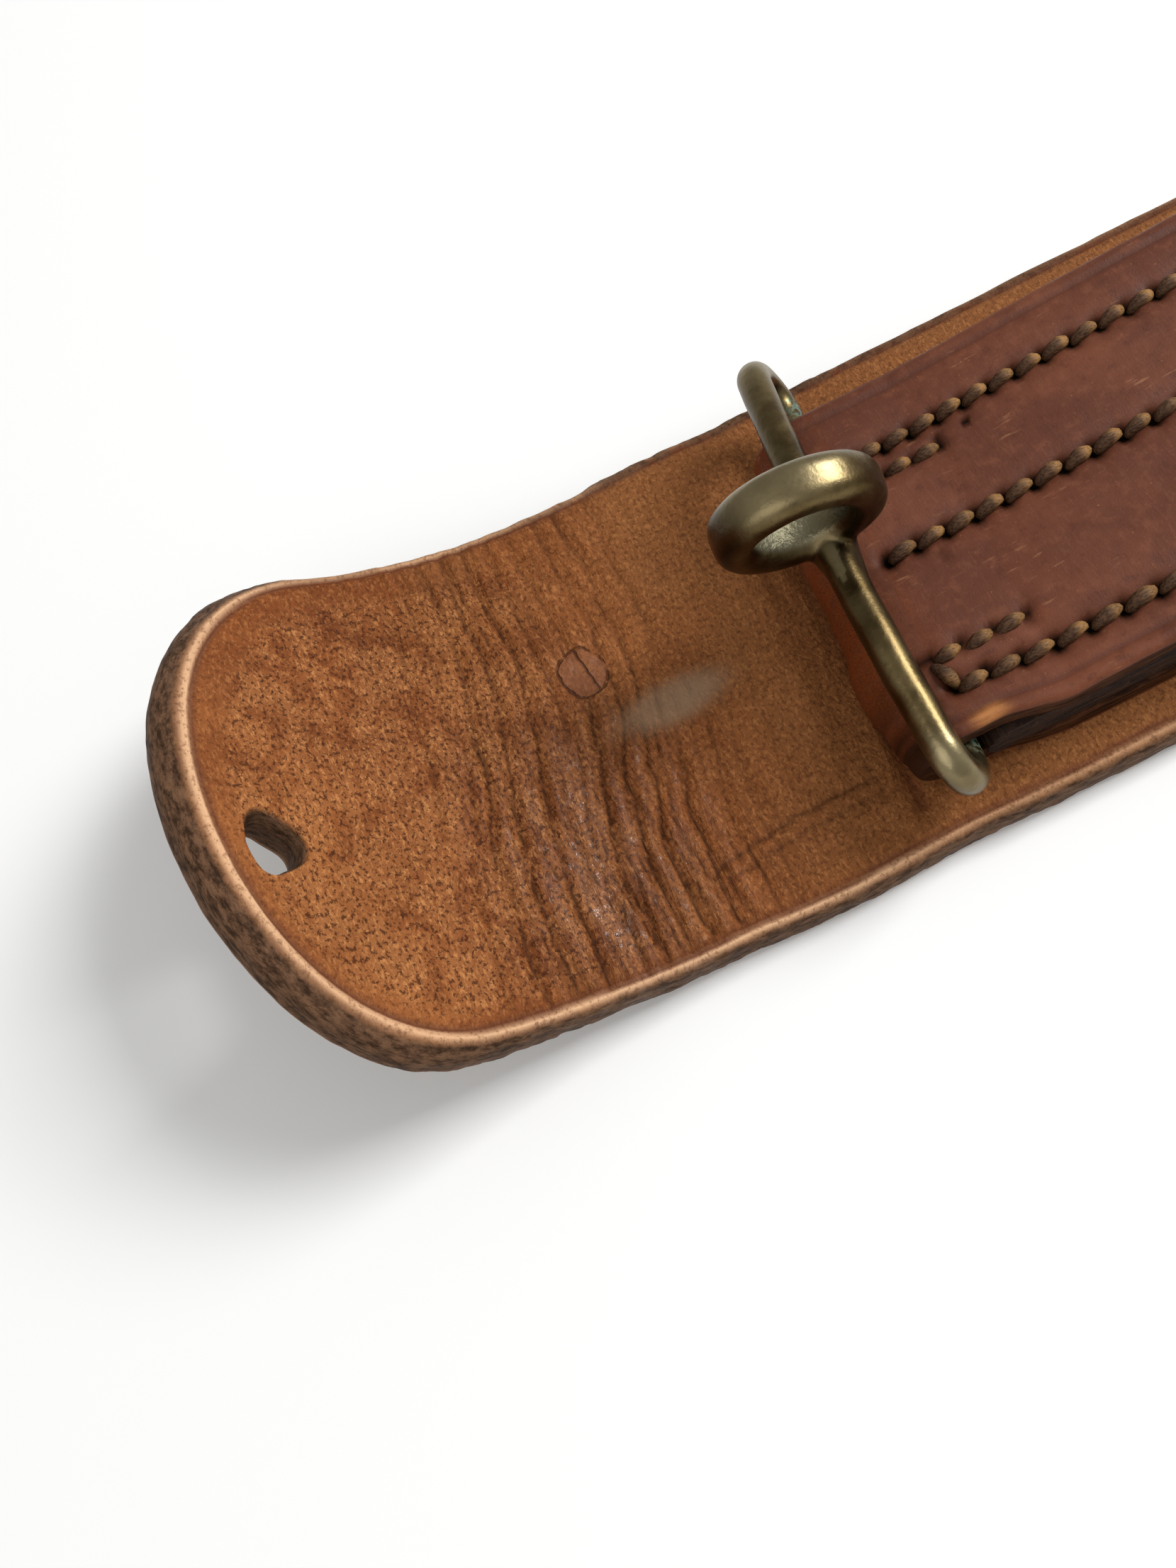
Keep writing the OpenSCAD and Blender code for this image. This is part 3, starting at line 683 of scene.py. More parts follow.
def backing(side, material, cut):
    """Half the belt's backing leather with its curled, creased tab."""
    seed = 100 if side < 0 else 300
    mesh = cut.copy()
    s, y, depth = coordinates(mesh).T * [[1], [1], [-1]]
    inset, out_s, out_y = inset_of(s, y)
    top = 1 - ease(depth / 2.2)
    shown = 1 - ease((s - 120) / 25)
    crease_at = crease_inset(s, y)
    inner = ease((inset - crease_at + 0.4) / 1.6)
    line = near(inset - crease_at - 0.15, 0.62)
    from_print = np.hypot(s - PRINT_S, y - PRINT_Y)
    flatter = near(from_print, PRINT_R + 0.8)
    arcs, press = scored(s, y)
    height, crack, strength, ridge = wrinkles(s, y, seed)
    height = height * (0.2 + 0.8 * inner) - 0.5 * line + 0.3 * near(inset - 0.55 * crease_at, 0.3 * crease_at)
    height += shown * (0.2 * fbm(s / 26, y / 26, seed + 51, 2) + 0.08 * fbm(s / 1.7, y / 1.7, seed + 52, 2))
    height = height * (1 - 0.8 * flatter) + 0.15 * flatter - 0.35 * near(from_print - PRINT_R - 0.4, 0.5)
    height -= 0.4 * near(np.hypot(s - PRINT_S - 2.6, y - PRINT_Y - 3.2), 0.8) + 0.34 * arcs + 0.3 * press

    ragged = near(np.where(s > 104, (s - 104) / 4, s - 104), 26) * ease((y - 20) / 12)
    fray = fbm(s / 3.5, depth / 4 + y / 30, seed + 61, 3)
    out = near(inset, 0.9) * (0.3 * fbm(s / 2.5, depth / 1.6 + y / 9, seed + 60, 3) + 0.5 * ragged * fray)
    out += 1.7 * (1 - ease((s - 16) / 30)) * (1 - ease(inset / 9)) * (ease((depth - 0.2) / 3) - 0.15)
    wavy = 0.7 * fbm(s / 19, np.sign(y) * 3, seed + 62, 2) * (np.abs(y) / BELT_HALF) ** 3 * shown
    free = s <= BELT_MID - 1e-3             # the two halves meet at the middle of the belt
    s_now = s + out * out_s * free
    y_now = y + (out * out_y + wavy * np.sign(y) * ease((s - 18) / 20)) * free
    depth_now = depth - height * top - (1 - top) * 0.12 * fbm(s / 6, y / 6, seed + 63, 2) * (depth > 3)
    x, z = skin(np.maximum(s_now, 0), depth_now)
    past_tip = np.minimum(s_now, 0)
    points = place(side, x + past_tip * math.cos(CURL), y_now, z - past_tip * math.sin(CURL))
    mesh.vertices.foreach_set("co", (points * MM).ravel())

    blotch = fbm(s / 20, y / 20, seed + 70, 3)
    light = near(np.hypot(s - HOLE_S, y - HOLE_Y), 14) + 0.8 * near(np.hypot(s - 18, y + 30), 15)
    light = (light + 0.5 * ease(blotch / 0.5)) * (1 - ease((s - 60) / 26))
    light += 0.9 * near(np.hypot(s - PRINT_S - 8, y - PRINT_Y), 5.5)
    # darker towards the fold, by the link and in blotches; the darkening by the fold and the link is partly
    # painted shade of the link and strap
    dark = 0.62 * ease((s - 74) / 26) + 0.3 * ease((s - 38) / 20) + 0.3 * ease(-blotch / 0.5)
    dark += 0.35 * near(s - 98, 18) * ease((y - 8) / 14)
    stain = near(np.hypot((s - 82 - 0.25 * y) / 9.5, (y + 2.0) / 3.9) ** 2, 0.95)
    below = ease((depth - 5.5) / 0.6)
    edge = np.maximum(ease((depth - 0.1) / 0.7), near(inset, 0.75))
    edge = np.maximum(edge, ragged * near(inset - 0.8, 1.7) * ease((fray + 0.5) / 0.5)) * (1 - below)
    nap_inset = inset - crease_at - 0.6 - 4 * near(y - 26, 26)
    wax = 1.2 * strength * ease(ridge / 0.8) * near(s - 58, 20) * near(y + 20, 20) + 0.3 * flatter
    masks = {
        "creased": np.clip(strength, 0, 1) * inner * top * (1 - flatter),
        "light": np.clip(light, 0, 1) * (1 - 0.8 * crack),
        "dark": dark,
        "crack": np.clip(crack * inner * (1 - flatter) + 0.6 * arcs, 0, 1) * top,
        "stain": stain * 1.2 * (0.8 + 0.5 * blotch),
        "nap": (1 - 0.75 * ease((s - 48) / 30)) * ease(nap_inset / 4),
        "rim": near(inset - 0.64 * crease_at, 0.33 * crease_at) * (1 - 0.5 * ease((s - 92) / 24)),
        "line": line * (1 + 0.5 * ragged) + 0.5 * ragged * (inset < crease_at) + 0.7 * press,
        "edge": edge, "under": below, "wax": wax,
    }
    masks = {key: np.clip(value, 0, 1) for key, value in masks.items()}
    masks["at"] = np.stack([s + 1000 * (side > 0), y, -depth], -1)
    masks["print"] = np.stack([s - PRINT_S, y - PRINT_Y, 0 * s], -1)
    piece = dress(mesh, SIDES[side] + "_backing", material, points, **masks)
    curved = [abs(face.center.x) > 1e-6 for face in mesh.polygons]    # all but the face where the halves meet
    mesh.polygons.foreach_set("use_smooth", curved)
    x, z = skin(np.array([54.0, 90.0]), BASE_T / 2)
    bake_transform(piece)
    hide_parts(SIDES[side] + "_tab", "backing_panel")


# ---- The outer strap: one ply folded round both links, with its three rows ----
ROWS = ((16.5, 5.0, 1.6, 32), (-3.0, 2.0, 0.5, 15), (-28.5, 2.0, 0.8, 25))    # y, start, end bend, its reach
RETURNS = ((0, 10.4, 8.0, 2), (2, -22.3, 0.5, 3))                             # row, y, start, stitches
OPEN_HOLES = ((9.6, -7.4), (23.6, 11.9), (18.3, 11.3))                        # from the hinge, y
FILLER_HALF = STRAP_HALF - 0.5


def row_y(k, u):
    """Place of a row across the belt: the outer rows pinch together a little by the fold."""
    y, _, bend, reach = ROWS[k]
    return y - math.copysign(bend, y - STRAP_MID) * np.exp(-np.maximum(u, 0) / reach)


def row_holes(k):
    """Places of a row's stitch holes along the belt."""
    half = HINGE_X - ROWS[k][1]
    return np.linspace(-half, half, round(2 * half / STITCH) + 1)


def strap_path():
    """Stations along the strap: u, its outer and inner (x, z), and shares of skew, fold and underside."""
    lower = np.arange(FOLD_BACK, 1.5, -5.0)
    turn = np.radians(np.linspace(-90, -270, 25))
    upper = np.concatenate([np.arange(0.8, 100, 0.8), np.linspace(100, HINGE_X, 94)])
    u = np.concatenate([lower, 0 * turn, upper])
    round_x, round_z = np.cos(turn), np.sin(turn)
    flat = 0 * lower
    outer_x = np.concatenate([lower, FOLD_R * round_x, upper])
    inner_x = np.concatenate([lower, BORE_R * round_x, upper])
    under = strap_under(upper - HINGE_X)
    outer_z = np.concatenate([flat + AXIS_Z - FOLD_R, AXIS_Z + FOLD_R * round_z, under + PLY_T])
    inner_z = np.concatenate([flat + AXIS_Z - BORE_R, AXIS_Z + BORE_R * round_z, under])
    fold = np.concatenate([flat, np.sin(np.linspace(0, np.pi, len(turn))), 0 * upper])
    skew = np.where(u > 0, 1 - ease(u / 45), 1)
    below = np.concatenate([flat + 1, 0 * turn, 0 * upper])
    return u, np.stack([outer_x, outer_z], -1), np.stack([inner_x, inner_z], -1), skew, fold, below


def strap_section():
    """(y, depth) round the strap's section."""
    fine = [y0 + d for y0, *_ in ROWS for d in (-3.4, -2.4, -1.7, -1.1, -0.6, 0, 0.6, 1.1, 1.7, 2.4, 3.4)]
    edges = [sign * (STRAP_HALF - d) + STRAP_MID for sign in (-1, 1) for d in (1.6, 2.2, 2.7, 3.2, 3.7, 4.3)]
    plain = np.arange(STRAP_LO + 6, STRAP_HI - 5, 1.7)
    plain = [y for y in plain if min(abs(y - y0) for y0, *_ in ROWS) > 3.9]
    top = np.sort(np.concatenate([fine, edges, plain]))
    corner = [(0.9, 0), (0.35, 0.14), (0.08, 0.5), (0, 1.1), (0, 2.0)]
    corner += [(inset, PLY_T - depth) for inset, depth in corner[-2::-1]]
    right = [(STRAP_HI - d, depth) for d, depth in corner]
    left = [(STRAP_LO + d, depth) for d, depth in corner[::-1]]
    bottom = [(y, PLY_T) for y in np.linspace(STRAP_HI - 4, STRAP_LO + 4, 12)]
    return np.array([(y, 0) for y in top] + right + bottom + left, float)


def sewing(uu, y):
    """(height, dark line, hole) that the rows of stitches and the open awl holes press into the strap."""
    height, line, hole = 0 * uu, 0 * uu, 0 * uu

    def to_hole(start, pitch):
        step = (uu - start) / pitch
        return np.abs(step - np.round(step)) * pitch

    for k, (_, start, *_) in enumerate(ROWS):
        holes = row_holes(k)
        on_row = ease((uu - start + 4) / 3)
        away = y - row_y(k, uu)
        pit = near(to_hole(start, holes[1] - holes[0]), 1.15) * near(away + 0.35, 1.5) * on_row
        height -= on_row * (0.5 * near(away, 3.2) + 0.45 * near(away, 1.4)) + 0.8 * pit
        line += 0.5 * on_row * near(away, 1.7)
        hole += 1.8 * pit
    for _, y0, start, count in RETURNS:
        on_row = ease((uu - start + 2.5) / 2) * ease((start + count * STITCH + 2.5 - uu) / 2)
        pit = near(to_hole(start, STITCH), 1.1) * near(y - y0, 1.2) * on_row
        height -= on_row * 0.5 * near(y - y0, 1.5) + 0.5 * pit
        hole += 1.2 * pit
    for u0, y0 in OPEN_HOLES:
        pit = near(np.hypot(uu - u0, y - y0), 0.85)
        height -= 0.7 * pit
        hole += 1.3 * pit
    return height, line, hole


def whole(left, right):
    """Rows of stations from one fold to the other. Both halves have the middle one."""
    return np.vstack([left, right[-2::-1]])


def strap(material):
    """The outer strap, from the end of one turned-back ply to the other."""
    u, outer, inner, *rest = strap_path()
    skew, fold, below = (column[:, None] for column in rest)
    y, depth = strap_section().T[:, None]
    uu = u[:, None] + 0 * y
    share = depth / PLY_T
    edge = STRAP_HALF - np.abs(y - STRAP_MID)
    top = (1 - ease(depth / 1.2)) * (1 - below)
    flat_top = top * (1 - fold)
    pressed, line, hole = sewing(uu, y)
    pressed += 0.15 * near(edge - 1.4, 1.0) - 0.3 * near(edge - 3.0, 0.5) + 0.2 * near(edge - 14, 9)
    line += near(edge - 3.0, 0.45)
    sweep = BOW_H - (y - LINK_SHIFT) ** 2 / (2 * BOW_R) - ROD_R - FOLD_R - 0.6    # room for the link
    droop = np.minimum(1.7 + 1.2 * ease((-y - 10) / 8), sweep) * (1 - 0.4 * share) * fold
    in_fold = 1 - ease((uu - NIP_RUN) / (FLAT_RUN - NIP_RUN))
    nipped = NIP * in_fold * np.clip((STRAP_MID - y) / STRAP_HALF, 0, 1) ** 2
    out = outer[:, None] - inner[:, None]
    out = out / np.linalg.norm(out, axis=-1, keepdims=True)
    # painted shade at the lower end of the fold, where it tucks under the link's bar
    low_end = near(y - STRAP_LO, 12) * fold
    nose = ease((fold - 0.1) / 0.5) + 0.5 * near(uu + 1, 3) * (1 - below) * (uu > 0)
    worn_corner = 1.3 * near(np.hypot((uu - 4.4) / 3.4, (y - STRAP_LO - 1.3) / 1.9) ** 2, 0.8)
    corner_top = (1 - ease((depth - 0.6) / 0.8)) * (1 - below) * (y < STRAP_MID)
    halves, half_masks = [], []
    for side in SIDES:
        seed = 500 if side < 0 else 600
        height = pressed + 0.25 * fbm(uu / 24, y / 17, seed, 2) + 0.05 * fbm(uu / 2.5, y / 2.5, seed + 5, 2)
        creases = fold * cells(uu / 40 + np.arange(len(u))[:, None] / 5.0, y / 9, seed + 9)
        height = height * (1 - 0.6 * fold) + 0.25 * creases
        where = outer[:, None] * (1 - share[..., None]) + inner[:, None] * share[..., None]
        where = where + out * (height * top)[..., None]
        rough_wall = 0.22 * fbm(uu / 5, depth / 1.2 + y, seed + 11, 3) * (edge < 0.6)
        x = where[..., 0] + skew * axis_x(y) - droop
        y_now = y + nipped + rough_wall * np.sign(y - STRAP_MID)
        halves.append(place(side, x, y_now, where[..., 1] - 0.25 * droop))
        bare = np.clip(worn_corner * (0.7 + 0.6 * fbm(uu / 3, y / 3, seed + 15, 2)), 0, 1)
        half_masks.append({
            "line": np.clip(line * flat_top, 0, 1),
            "hole": np.clip(hole, 0, 1) * flat_top,
            # the fold's nose worn to orange, its colour partly painted shade
            "worn": np.clip(nose * (0.7 + 0.5 * fbm(uu / 6, y / 6, seed + 13, 2)), 0, 1) * (depth < 1.2),
            "bare": bare * corner_top,
            "fold_end_shade": np.clip(1.3 * low_end * (0.8 + 0.9 * fbm(uu / 2, y / 2, seed + 17, 2)), 0, 1),
            "wall": ease((depth - 0.3) / 0.9) + 0 * uu,
        })
    points, masks = whole(*halves), {}
    for key in half_masks[0]:
        masks[key] = whole(*(half[key] for half in half_masks)).ravel()
    piece = make("outer_strap", points, sleeve_faces(*points.shape[:2]), material, **masks)
    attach(piece, "belt")
    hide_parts("top_strap")


def filler(side, material):
    """Leather layers between the plies: a nose by the rod, rough walls, a blunt end by the cushion."""
    seed = 700 if side < 0 else 800
    nose, end = [3.5, 3.7, 4.3, 5.2, 6.5], [FILLER_END - 1.2, FILLER_END]
    u = np.concatenate([nose, np.linspace(8, FILLER_END - 3, 60), end])[:, None]
    high = BASE_T + filler_top(u) - TOUCH
    low = np.where(u < FOLD_BACK + TOUCH, AXIS_Z - BORE_R + TOUCH, BASE_T + TOUCH)
    round_off = ease((u - 2.6) / 3.2) * (1 - 0.25 * ease((u - FILLER_END + 2.5) / 2.5))
    up, across = np.linspace(0, 1, 15), np.linspace(3 - FILLER_HALF, FILLER_HALF - 3, 10)
    away = np.concatenate([np.full(15, -FILLER_HALF), across, np.full(15, FILLER_HALF), across[::-1]])
    part = np.concatenate([up, np.ones(10), up[::-1], np.zeros(10)])
    z = (high + low) / 2 + (high - low) * round_off * (part - 0.5)
    layers = near(np.sin(z * 1.6 + fbm(u / 30 + 0 * z, z / 8, seed + 4, 2)), 0.3)
    rough = 0.45 * fbm(u / 8 + 0 * z, z / 1.1, seed, 3) - 0.25 * layers
    y = STRAP_MID + away + np.sign(away) * (np.abs(away) > FILLER_HALF - 0.1) * rough
    points = place(side, u + axis_x(STRAP_MID + away) * (1 - ease(u / 45)), y, z)
    piece = make(SIDES[side] + "_filler_layers", points, sleeve_faces(*z.shape), material)
    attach(piece, "belt")
    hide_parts(SIDES[side] + "_filler")


# ---- Thread ----
THREAD_R = 1.05
THREAD_SIDES = 10
SLANT = 0.85                      # how far each stitch lies off its row, end to end


def stitch_tube(start, end, rng):
    """One plump stitch between two points on the leather: it dips into its holes and lies a little aslant."""
    t = np.linspace(0, 1, 11)
    length = rng.uniform(0.76, 0.83)
    path = start + (end - start) * ((1 - length) / 2 + length * t)[:, None]
    path[:, 2] += -1.15 + 1.2 * np.sin(np.pi * t) ** 0.5 + rng.uniform(-0.1, 0.1)
    along = (end - start) / np.linalg.norm(end - start)
    aside = np.array([-along[1], along[0], 0])
    path += aside * (SLANT * (t - 0.5) + rng.uniform(-0.12, 0.12))[:, None]
    plump = 0.5 + 0.6 * np.sin(np.pi * np.clip(t, 0.04, 0.96)) ** 0.6
    radii = THREAD_R * plump * rng.uniform(0.94, 1.06)
    points, faces = tube(path, radii, THREAD_SIDES, turn=2.2 * t + rng.uniform(0, 6))
    # gold towards the stitch's end: partly wear, partly a painted highlight
    worn = ease((t - 0.42) / 0.35) * ease((1.1 - t) / 0.14) * rng.uniform(0.3, 1.0)
    return points, faces, np.repeat(worn, THREAD_SIDES)


def stitches(name, runs, node, material, seed):
    """One piece for a row: runs is a list of point lists, with a stitch between each two points."""
    rng = np.random.default_rng(seed)
    tubes = [stitch_tube(a, b, rng) for run in runs for a, b in zip(run[:-1], run[1:])]
    points, faces = joined([(points, faces) for points, faces, _ in tubes])
    proud = np.concatenate([points[:, 2] - points[:, 2].mean() for points, *_ in tubes])
    # more gold where the stitch stands proud: partly wear, partly a painted highlight
    worn = np.concatenate([worn for *_, worn in tubes]) * ease(proud / 0.8 + 0.3)
    piece = make(name, points, faces, material, worn=worn)
    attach(piece, "belt")
    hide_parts(node)


def on_strap(x, y):
    x, y = np.asarray(x, float), np.asarray(y, float)
    u = HINGE_X - np.abs(x)
    x_now = x - np.sign(x) * axis_x(y) * (1 - ease(np.maximum(u, 0) / 45))
    return np.stack([x_now, y + 0 * x, strap_under(x) + PLY_T - 0.15 + 0 * x], -1)


def strap_rows(material):
    for k, node in enumerate(("upper_seam", "middle_seam", "lower_seam")):
        holes = row_holes(k)
        runs = [on_strap(holes, row_y(k, HINGE_X - np.abs(holes)))]
        for side in SIDES:
            for _, y0, start, count in (turned for turned in RETURNS if turned[0] == k):
                x = side * (HINGE_X - start - STITCH * np.arange(count + 1))
                runs.append(on_strap(x, np.full(len(x), y0))[::-side])
                if k == 2:
                    corner = side * (HINGE_X - np.array([start, ROWS[k][1]]))
                    runs.append(on_strap(corner, [y0, float(row_y(k, 0))]))
        stitches(node.replace("seam", "stitches"), runs, node, material, 900 + k)


def pad_row(material):
    n = 152
    fine = oval(PAD_A + SEAM_OUT, PAD_B + SEAM_OUT, np.linspace(0, 2 * np.pi, 4000))
    run = np.append(0, np.cumsum(np.linalg.norm(np.diff(fine, axis=0), axis=1)))
    at = np.linspace(0, run[-1], n + 1)
    x, y = (np.interp(at, run, line) for line in fine.T)
    path = np.column_stack([x, y, np.full(n + 1, BASE_T + 0.6)])
    stitches("pad_stitches", [path], "pad_seam", material, 950)


# ---- The cushion and its welt ----
SLACK = 5.0                       # how much smaller the cushion starts than its cover


def dome(a, b, h, rows=40, around=160):
    """Points and faces of the stuffed cushion's closed form, standing on the backing."""
    level = np.radians(np.linspace(0, 88, rows))
    t = np.linspace(0, 2 * np.pi, around, endpoint=False)
    points = []
    for f in level:
        shrink, z = math.cos(f) ** (2 / CROWN_N), h * math.sin(f) ** (2 / CROWN_N)
        points.append(np.column_stack([oval(a * shrink, b * shrink, t), np.full(around, BASE_T + TOUCH + z)]))
    return np.vstack(points), sleeve_faces(rows, around)


def inflated(mesh, low):
    """The mesh blown up by a cloth simulation, in which the low points are held."""
    obj = add("cushion", mesh)
    obj.vertex_groups.new(name="held").add(np.nonzero(low)[0].tolist(), 1.0, "REPLACE")
    cloth = obj.modifiers.new("cloth", "CLOTH").settings
    cloth.use_pressure = True
    cloth.uniform_pressure_force = 4
    cloth.effector_weights.gravity = 0
    cloth.vertex_group_mass = "held"
    cloth.quality = 6
    for number in range(1, 21):
        bpy.context.scene.frame_set(number)
    mesh = evaluated(obj)
    bpy.context.scene.frame_set(1)
    return mesh


def cushion_form():
    """The stuffed cushion before the welt and the strap press on it."""
    points, faces = dome(PAD_A - SLACK, PAD_B - SLACK, PAD_H - SLACK / 2)
    obj = add("cushion", raw_mesh("cushion", points * MM, faces))
    remesh = obj.modifiers.new("remesh", "REMESH")
    remesh.mode, remesh.voxel_size = "VOXEL", 5 * MM
    mesh = evaluated(obj)
    rest = coordinates(mesh) / MM
    mesh = inflated(mesh, rest[:, 2] < BASE_T + TOUCH + 4)
    moved = coordinates(mesh) / MM - rest
    far = np.linalg.norm(moved, axis=1)
    points = rest + moved * (np.minimum(far, SLACK + 3) / np.maximum(far, 1e-6))[:, None]
    mesh.vertices.foreach_set("co", (points * MM).ravel())
    obj = add("cushion", mesh)
    obj.modifiers.new("smoother", "SUBSURF").levels = 1
    return evaluated(obj)


def cushion(material):
    """Leather cover over the stuffing: held in by the welt, puckered there, and pressed by the strap."""
    mesh = cushion_form()
    x, y, z = (coordinates(mesh) / MM).T
    reach = (np.abs(x / (PAD_A + 1)) ** OVAL_N + np.abs(y / (PAD_B + 1)) ** OVAL_N) ** (1 / OVAL_N)
    hold = np.minimum(1, 1 / np.maximum(reach, 1e-6))
    x, y, reach = x * hold, y * hold, reach * hold
    top = ease((z - BASE_T - 3) / 6)
    way = np.arctan2(y / PAD_B, x / PAD_A)
    rim = near(reach - 0.99, 0.07)
    pucker = np.sin(75 * way + 5 * fbm(x / 40, y / 40, 20, 2)) * (0.6 + 0.5 * fbm(x / 15, y / 15, 21, 2))
    dimples = fbm(x / 34, y / 34, 22, 3)
    z = z + top * (0.9 * rim * pucker + 1.3 * dimples + 0.22 * fbm(x / 5, y / 5, 23, 2))
    strap_edge = np.abs(y - STRAP_MID) - STRAP_HALF
    over = z - (strap_under(x) - 0.4)
    z = z - (1 - ease((strap_edge + 1) / 9)) * np.where(top > 0, np.maximum(over, 0) + 0.3 * top, 0)
    z = z + top * 0.9 * near(strap_edge - 10, 7) * (1 - ease((reach - 0.75) / 0.2))
    z = np.maximum(z, BASE_T + TOUCH)
    points = np.stack([x, y, z], -1)
    mesh.vertices.foreach_set("co", (points * MM).ravel())
    # painted shade: in the puckers by the welt, in the hollows and along the strap's edges
    fold = 0.5 * rim * (1 - pucker) + 0.5 * ease(-dimples / 0.6) + 0.8 * near(strap_edge, 3) * top
    piece = dress(mesh, "cushion_leather", material, points, fold=np.clip(fold, 0, 1))
    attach(piece, "belt")
    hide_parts("cushion_cover", "cushion_core")


def welt(material):
    t = np.linspace(0, 2 * np.pi, 420, endpoint=False)
    radii = WELT_R * (1 + 0.05 * fbm(t * 12, 0 * t, 31, 2) - 0.05 * near(np.sin(t * 75), 0.35))
    path = np.column_stack([oval(PAD_A + WELT_OUT, PAD_B + WELT_OUT, t), BASE_T + TOUCH + radii])
    points, faces = tube(path, radii, 14, closed=True)
    x, y, z = points.T
    # painted sheen: paler along the top of the roll
    rubbed = ease((z - BASE_T - WELT_R - 1) / 2) * (0.6 + 0.4 * fbm(x / 9, y / 9, 33, 2))
    piece = make("pad_welt_roll", points, faces, material, rubbed=rubbed)
    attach(piece, "belt")
    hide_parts("pad_welt")


# ---- The ring links ----
RING_TURN = np.array(Matrix.Rotation(-TWIST, 3, "Z") @ Matrix.Rotation(TIP, 3, "X"))
RING_CENTRE = np.array([0, RING_SHIFT, RING_H])
ROD_SIDES = 20


def arc(centre_y, centre_z, r, start, sweep, n):
    a = np.radians(np.linspace(start, start + sweep, n))
    return np.column_stack([0 * a, centre_y + r * np.cos(a), centre_z + r * np.sin(a)])


def cast_ring():
    """Points and faces of the ring: a flat band with rounded edges, turned round its axis."""
    t = np.linspace(0, 2 * np.pi, 72, endpoint=False)
    out, side = RING_R - EYE_R - RING_EDGE, RING_W / 2 - RING_EDGE
    corners = ((out, side, 0), (RING_EDGE, side, 90), (RING_EDGE, -side, 180), (out, -side, 270))
    section = np.vstack([arc(EYE_R + y, x, RING_EDGE, start, 90, 6) for y, x, start in corners])
    r, across = section[:, 1], section[:, 2]
    turns = [np.column_stack([r * math.cos(a), across, r * math.sin(a)]) for a in t]
    faces = grid_faces(len(t) + 1, len(section), around=True) % (len(t) * len(section))
    return np.vstack(turns) @ RING_TURN.T + RING_CENTRE, faces.tolist()


def link_body():
    """Points and faces of the bars and the ring, standing straight up with the lower bar on the Y axis."""
    bow_a = math.degrees(math.asin(BEND_Y / (BOW_R - BEND_R)))
    bar = np.column_stack([np.zeros(50), np.linspace(-BEND_Y, BEND_Y, 50), np.zeros(50)])
    loop = np.vstack([bar, arc(BEND_Y, BEND_R, BEND_R, -90, 180 - bow_a, 18)[1:],
                      arc(0, BOW_H - BOW_R, BOW_R, 90 - bow_a, 2 * bow_a, 70)[1:],
                      arc(-BEND_Y, BEND_R, BEND_R, 90 + bow_a, 180 - bow_a, 18)[1:-1]])
    uneven = ROD_R * (1 + 0.02 * fbm(loop[:, 1] / 9, loop[:, 2] / 9, 61, 2))
    parts = [tube(loop, uneven, ROD_SIDES, closed=True), cast_ring()]
    for sign in (-1, 1):
        away = np.linspace(0, 9, 10)
        flare = np.column_stack([0 * away, 1.5 + sign * away, BOW_H - 0.9 - away**2 / (2 * BOW_R)])
        parts.append(tube(flare, ROD_R + 1.5 * (1 - away / 9) ** 1.5, ROD_SIDES))
    return joined(parts)


def link_mesh():
    """The link as one cast skin: parts fused in small voxels, their joints smoothed into fillets."""
    obj = add("link", raw_mesh("link", *link_body()))
    fuse = obj.modifiers.new("fuse", "REMESH")
    fuse.mode, fuse.voxel_size = "VOXEL", 0.42
    soften = obj.modifiers.new("soften", "SMOOTH")
    soften.factor, soften.iterations = 0.5, 12
    return evaluated(obj)


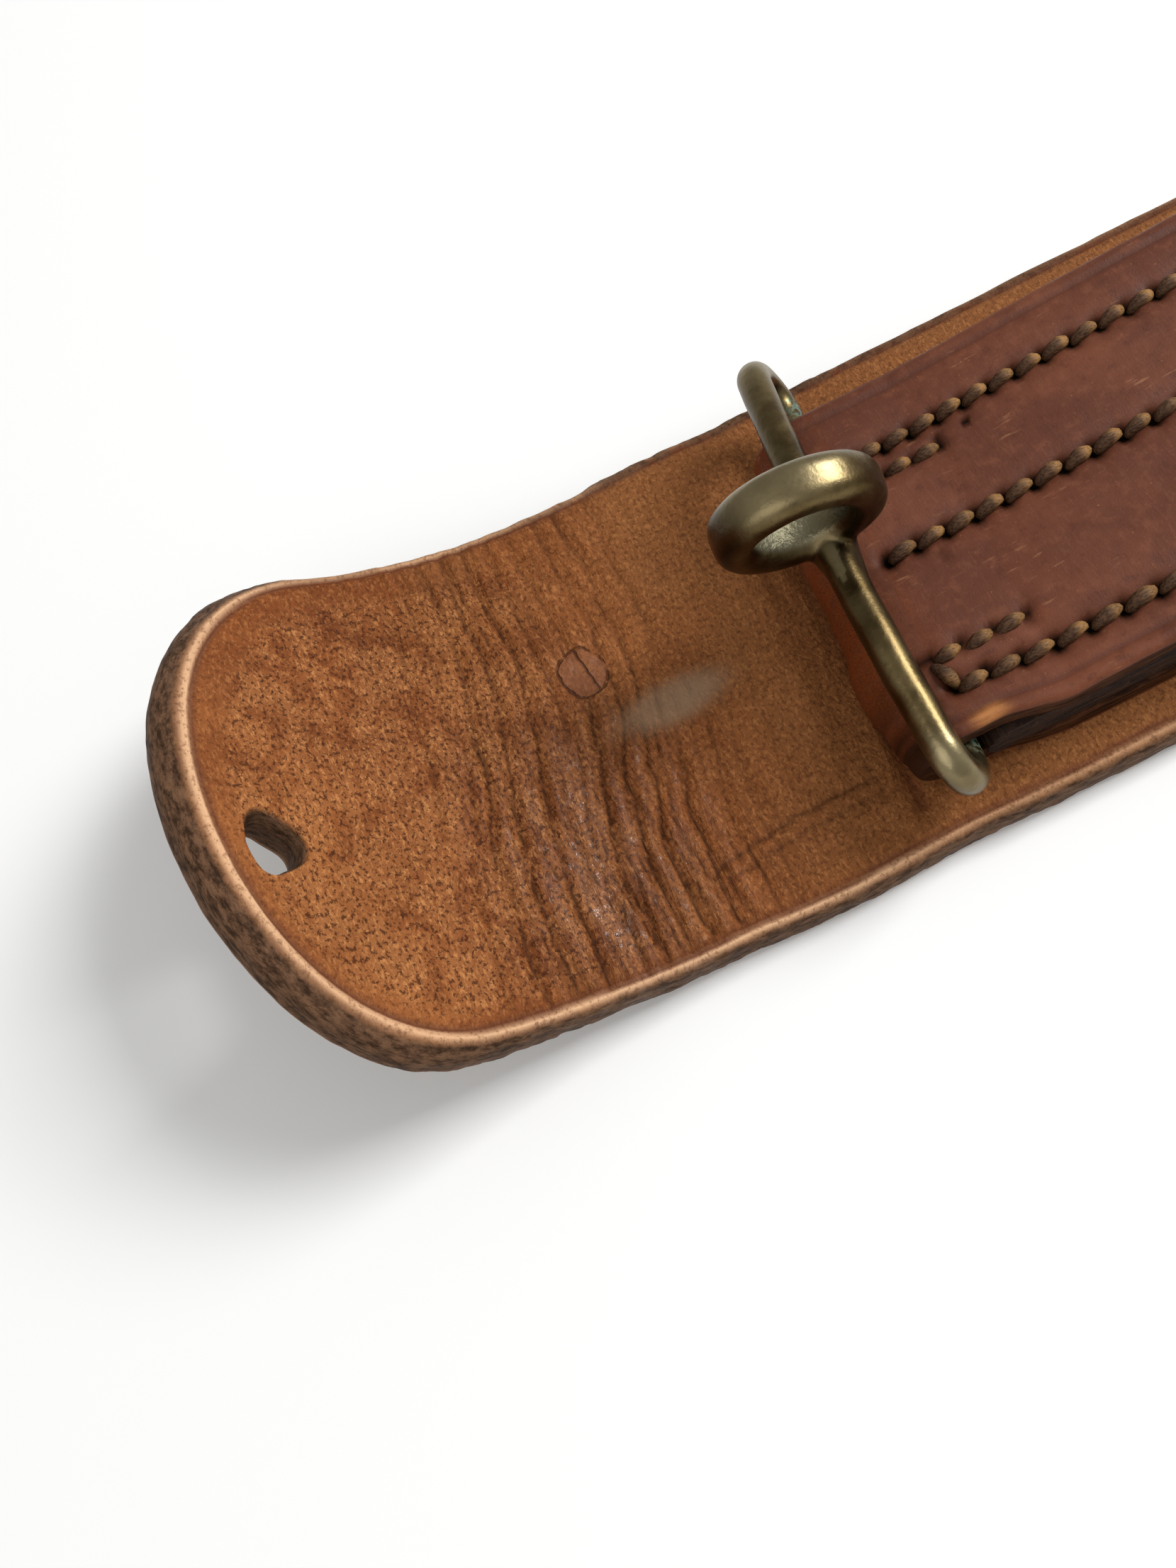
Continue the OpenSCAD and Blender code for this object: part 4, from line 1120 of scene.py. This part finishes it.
def link(side, material, cast):
    mesh = cast.copy()
    x, y, z = coordinates(mesh).T
    ring_x, ring_y, ring_z = ((np.stack([x, y, z], -1) - RING_CENTRE) @ RING_TURN).T
    from_ring = np.hypot(ring_x, ring_z)
    in_ring = (z > BOW_H + 2.5) | (from_ring < RING_R + 0.5) & (np.abs(ring_y) < RING_W / 2 + 0.5)
    facing = np.array([v.normal for v in mesh.vertices]).T
    # painted shade: the sides facing away from the pad (on the left link, the side away from the key light),
    # the ring's neck and the middle of the bars
    neck = near(np.hypot(y - 1, z - BOW_H - 0.5), 5)
    painted_shade = np.maximum(ease((-facing[0] - 0.02) / 0.6) * (0.55 + 0.45 * in_ring), 0.85 * neck)
    painted_shade = np.maximum(painted_shade, 0.6 * ease((24 - np.abs(y)) / 9) * ~in_ring)
    # paler on upward faces and at the bends: partly rubbed brass, partly a painted highlight, kept off the
    # painted shade
    rubbed = ease((facing[2] - 0.3) / 0.6) * (0.1 + 0.6 * in_ring)
    rubbed = (rubbed + 0.8 * near(np.abs(y) - BEND_Y - 4, 4) * ease((z - 2) / 4)) * (1 - 0.8 * painted_shade)
    grey = ease((EYE_R + 0.8 - from_ring) / 0.6) * in_ring * (1 - ease((np.abs(ring_y) - 1.6) / 1.2))
    grey = grey * (0.3 + 0.7 * ease((3 - ring_x) / 6)) * (1 - 0.7 * neck)
    green = near(np.abs(y) - BEND_Y + 0.5, 2.6) * ease((3.4 - z) / 2)
    x, y, z = np.stack([x, y, z]) + facing * 0.12 * fbm(y / 6, (x + z) / 6, 63, 2)
    rubbed = rubbed * (0.8 + 0.6 * fbm(y / 9, z / 9, 65, 2))
    lean_x, lean_z = x * math.cos(LEAN) - z * math.sin(LEAN), x * math.sin(LEAN) + z * math.cos(LEAN)
    out_x = lean_x * math.cos(SKEW) + y * math.sin(SKEW)
    out_y = y * math.cos(SKEW) - lean_x * math.sin(SKEW) + LINK_SHIFT
    points = place(side, out_x, out_y, lean_z + AXIS_Z)
    mesh.vertices.foreach_set("co", (points * MM).ravel())
    masks = {"rubbed": rubbed, "painted_shade": painted_shade, "grey": grey, "green": green}
    masks = {key: np.clip(value, 0, 1) for key, value in masks.items()}
    piece = dress(mesh, SIDES[side] + "_link_cast", material, points, **masks)
    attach(piece, SIDES[side] + "_link")
    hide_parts(SIDES[side] + "_ring_link")


# ---- The studio ----
def studio():
    """A plain pale floor, a soft key light, a fill, and the camera that looks down at the left end."""
    bpy.ops.mesh.primitive_plane_add(size=14, location=(0, 0, -0.0006))
    floor = bpy.context.object
    floor.name = "floor"
    pale = Paint("floor", 0.9)
    pale.set("Base Color", (0.86, 0.86, 0.85))
    floor.data.materials.append(pale.material)
    focus = Vector((-0.4, 0, 0))
    lamps = (("key", (1.2, 0.12, 1.15), 0.7, 26), ("fill", (-1.4, -1.0, 1.3), 1.8, 13))
    for name, spot, size, power in lamps:
        lamp = add(name, bpy.data.lights.new(name, "AREA"))
        lamp.data.size, lamp.data.energy = size, power
        lamp.location = focus + Vector(spot)
        lamp.rotation_euler = (focus - lamp.location).to_track_quat("-Z", "Y").to_euler()
    world = bpy.data.worlds.new("studio")
    world.use_nodes = True
    world.node_tree.nodes["Background"].inputs["Color"].default_value = (1, 1, 1, 1)
    world.node_tree.nodes["Background"].inputs["Strength"].default_value = 0.47
    bpy.context.scene.world = world
    bpy.context.scene.view_settings.view_transform = "Standard"
    camera = add("camera", bpy.data.cameras.new("camera"))
    camera.data.sensor_width = 36
    camera.data.lens = 29.8
    camera.data.clip_start = 0.01
    camera.rotation_mode = "YXZ"
    camera.rotation_euler = [math.radians(a) for a in (22.52, 11.52, -28.93)]
    camera.location = Vector((-434.3, -97.4, 196.1)) * MM
    bpy.context.scene.camera = camera


backing_leather, cut_slab = backing_material(), punched_slab()
brass, cast_link = brass_material(), link_mesh()
filler_leather, thread = filler_material(), thread_material()
for end in SIDES:
    backing(end, backing_leather, cut_slab)
    filler(end, filler_leather)
    link(end, brass, cast_link)
strap(strap_material())
strap_rows(thread)
pad_row(thread)
cushion(cover_material())
welt(welt_material())
studio()
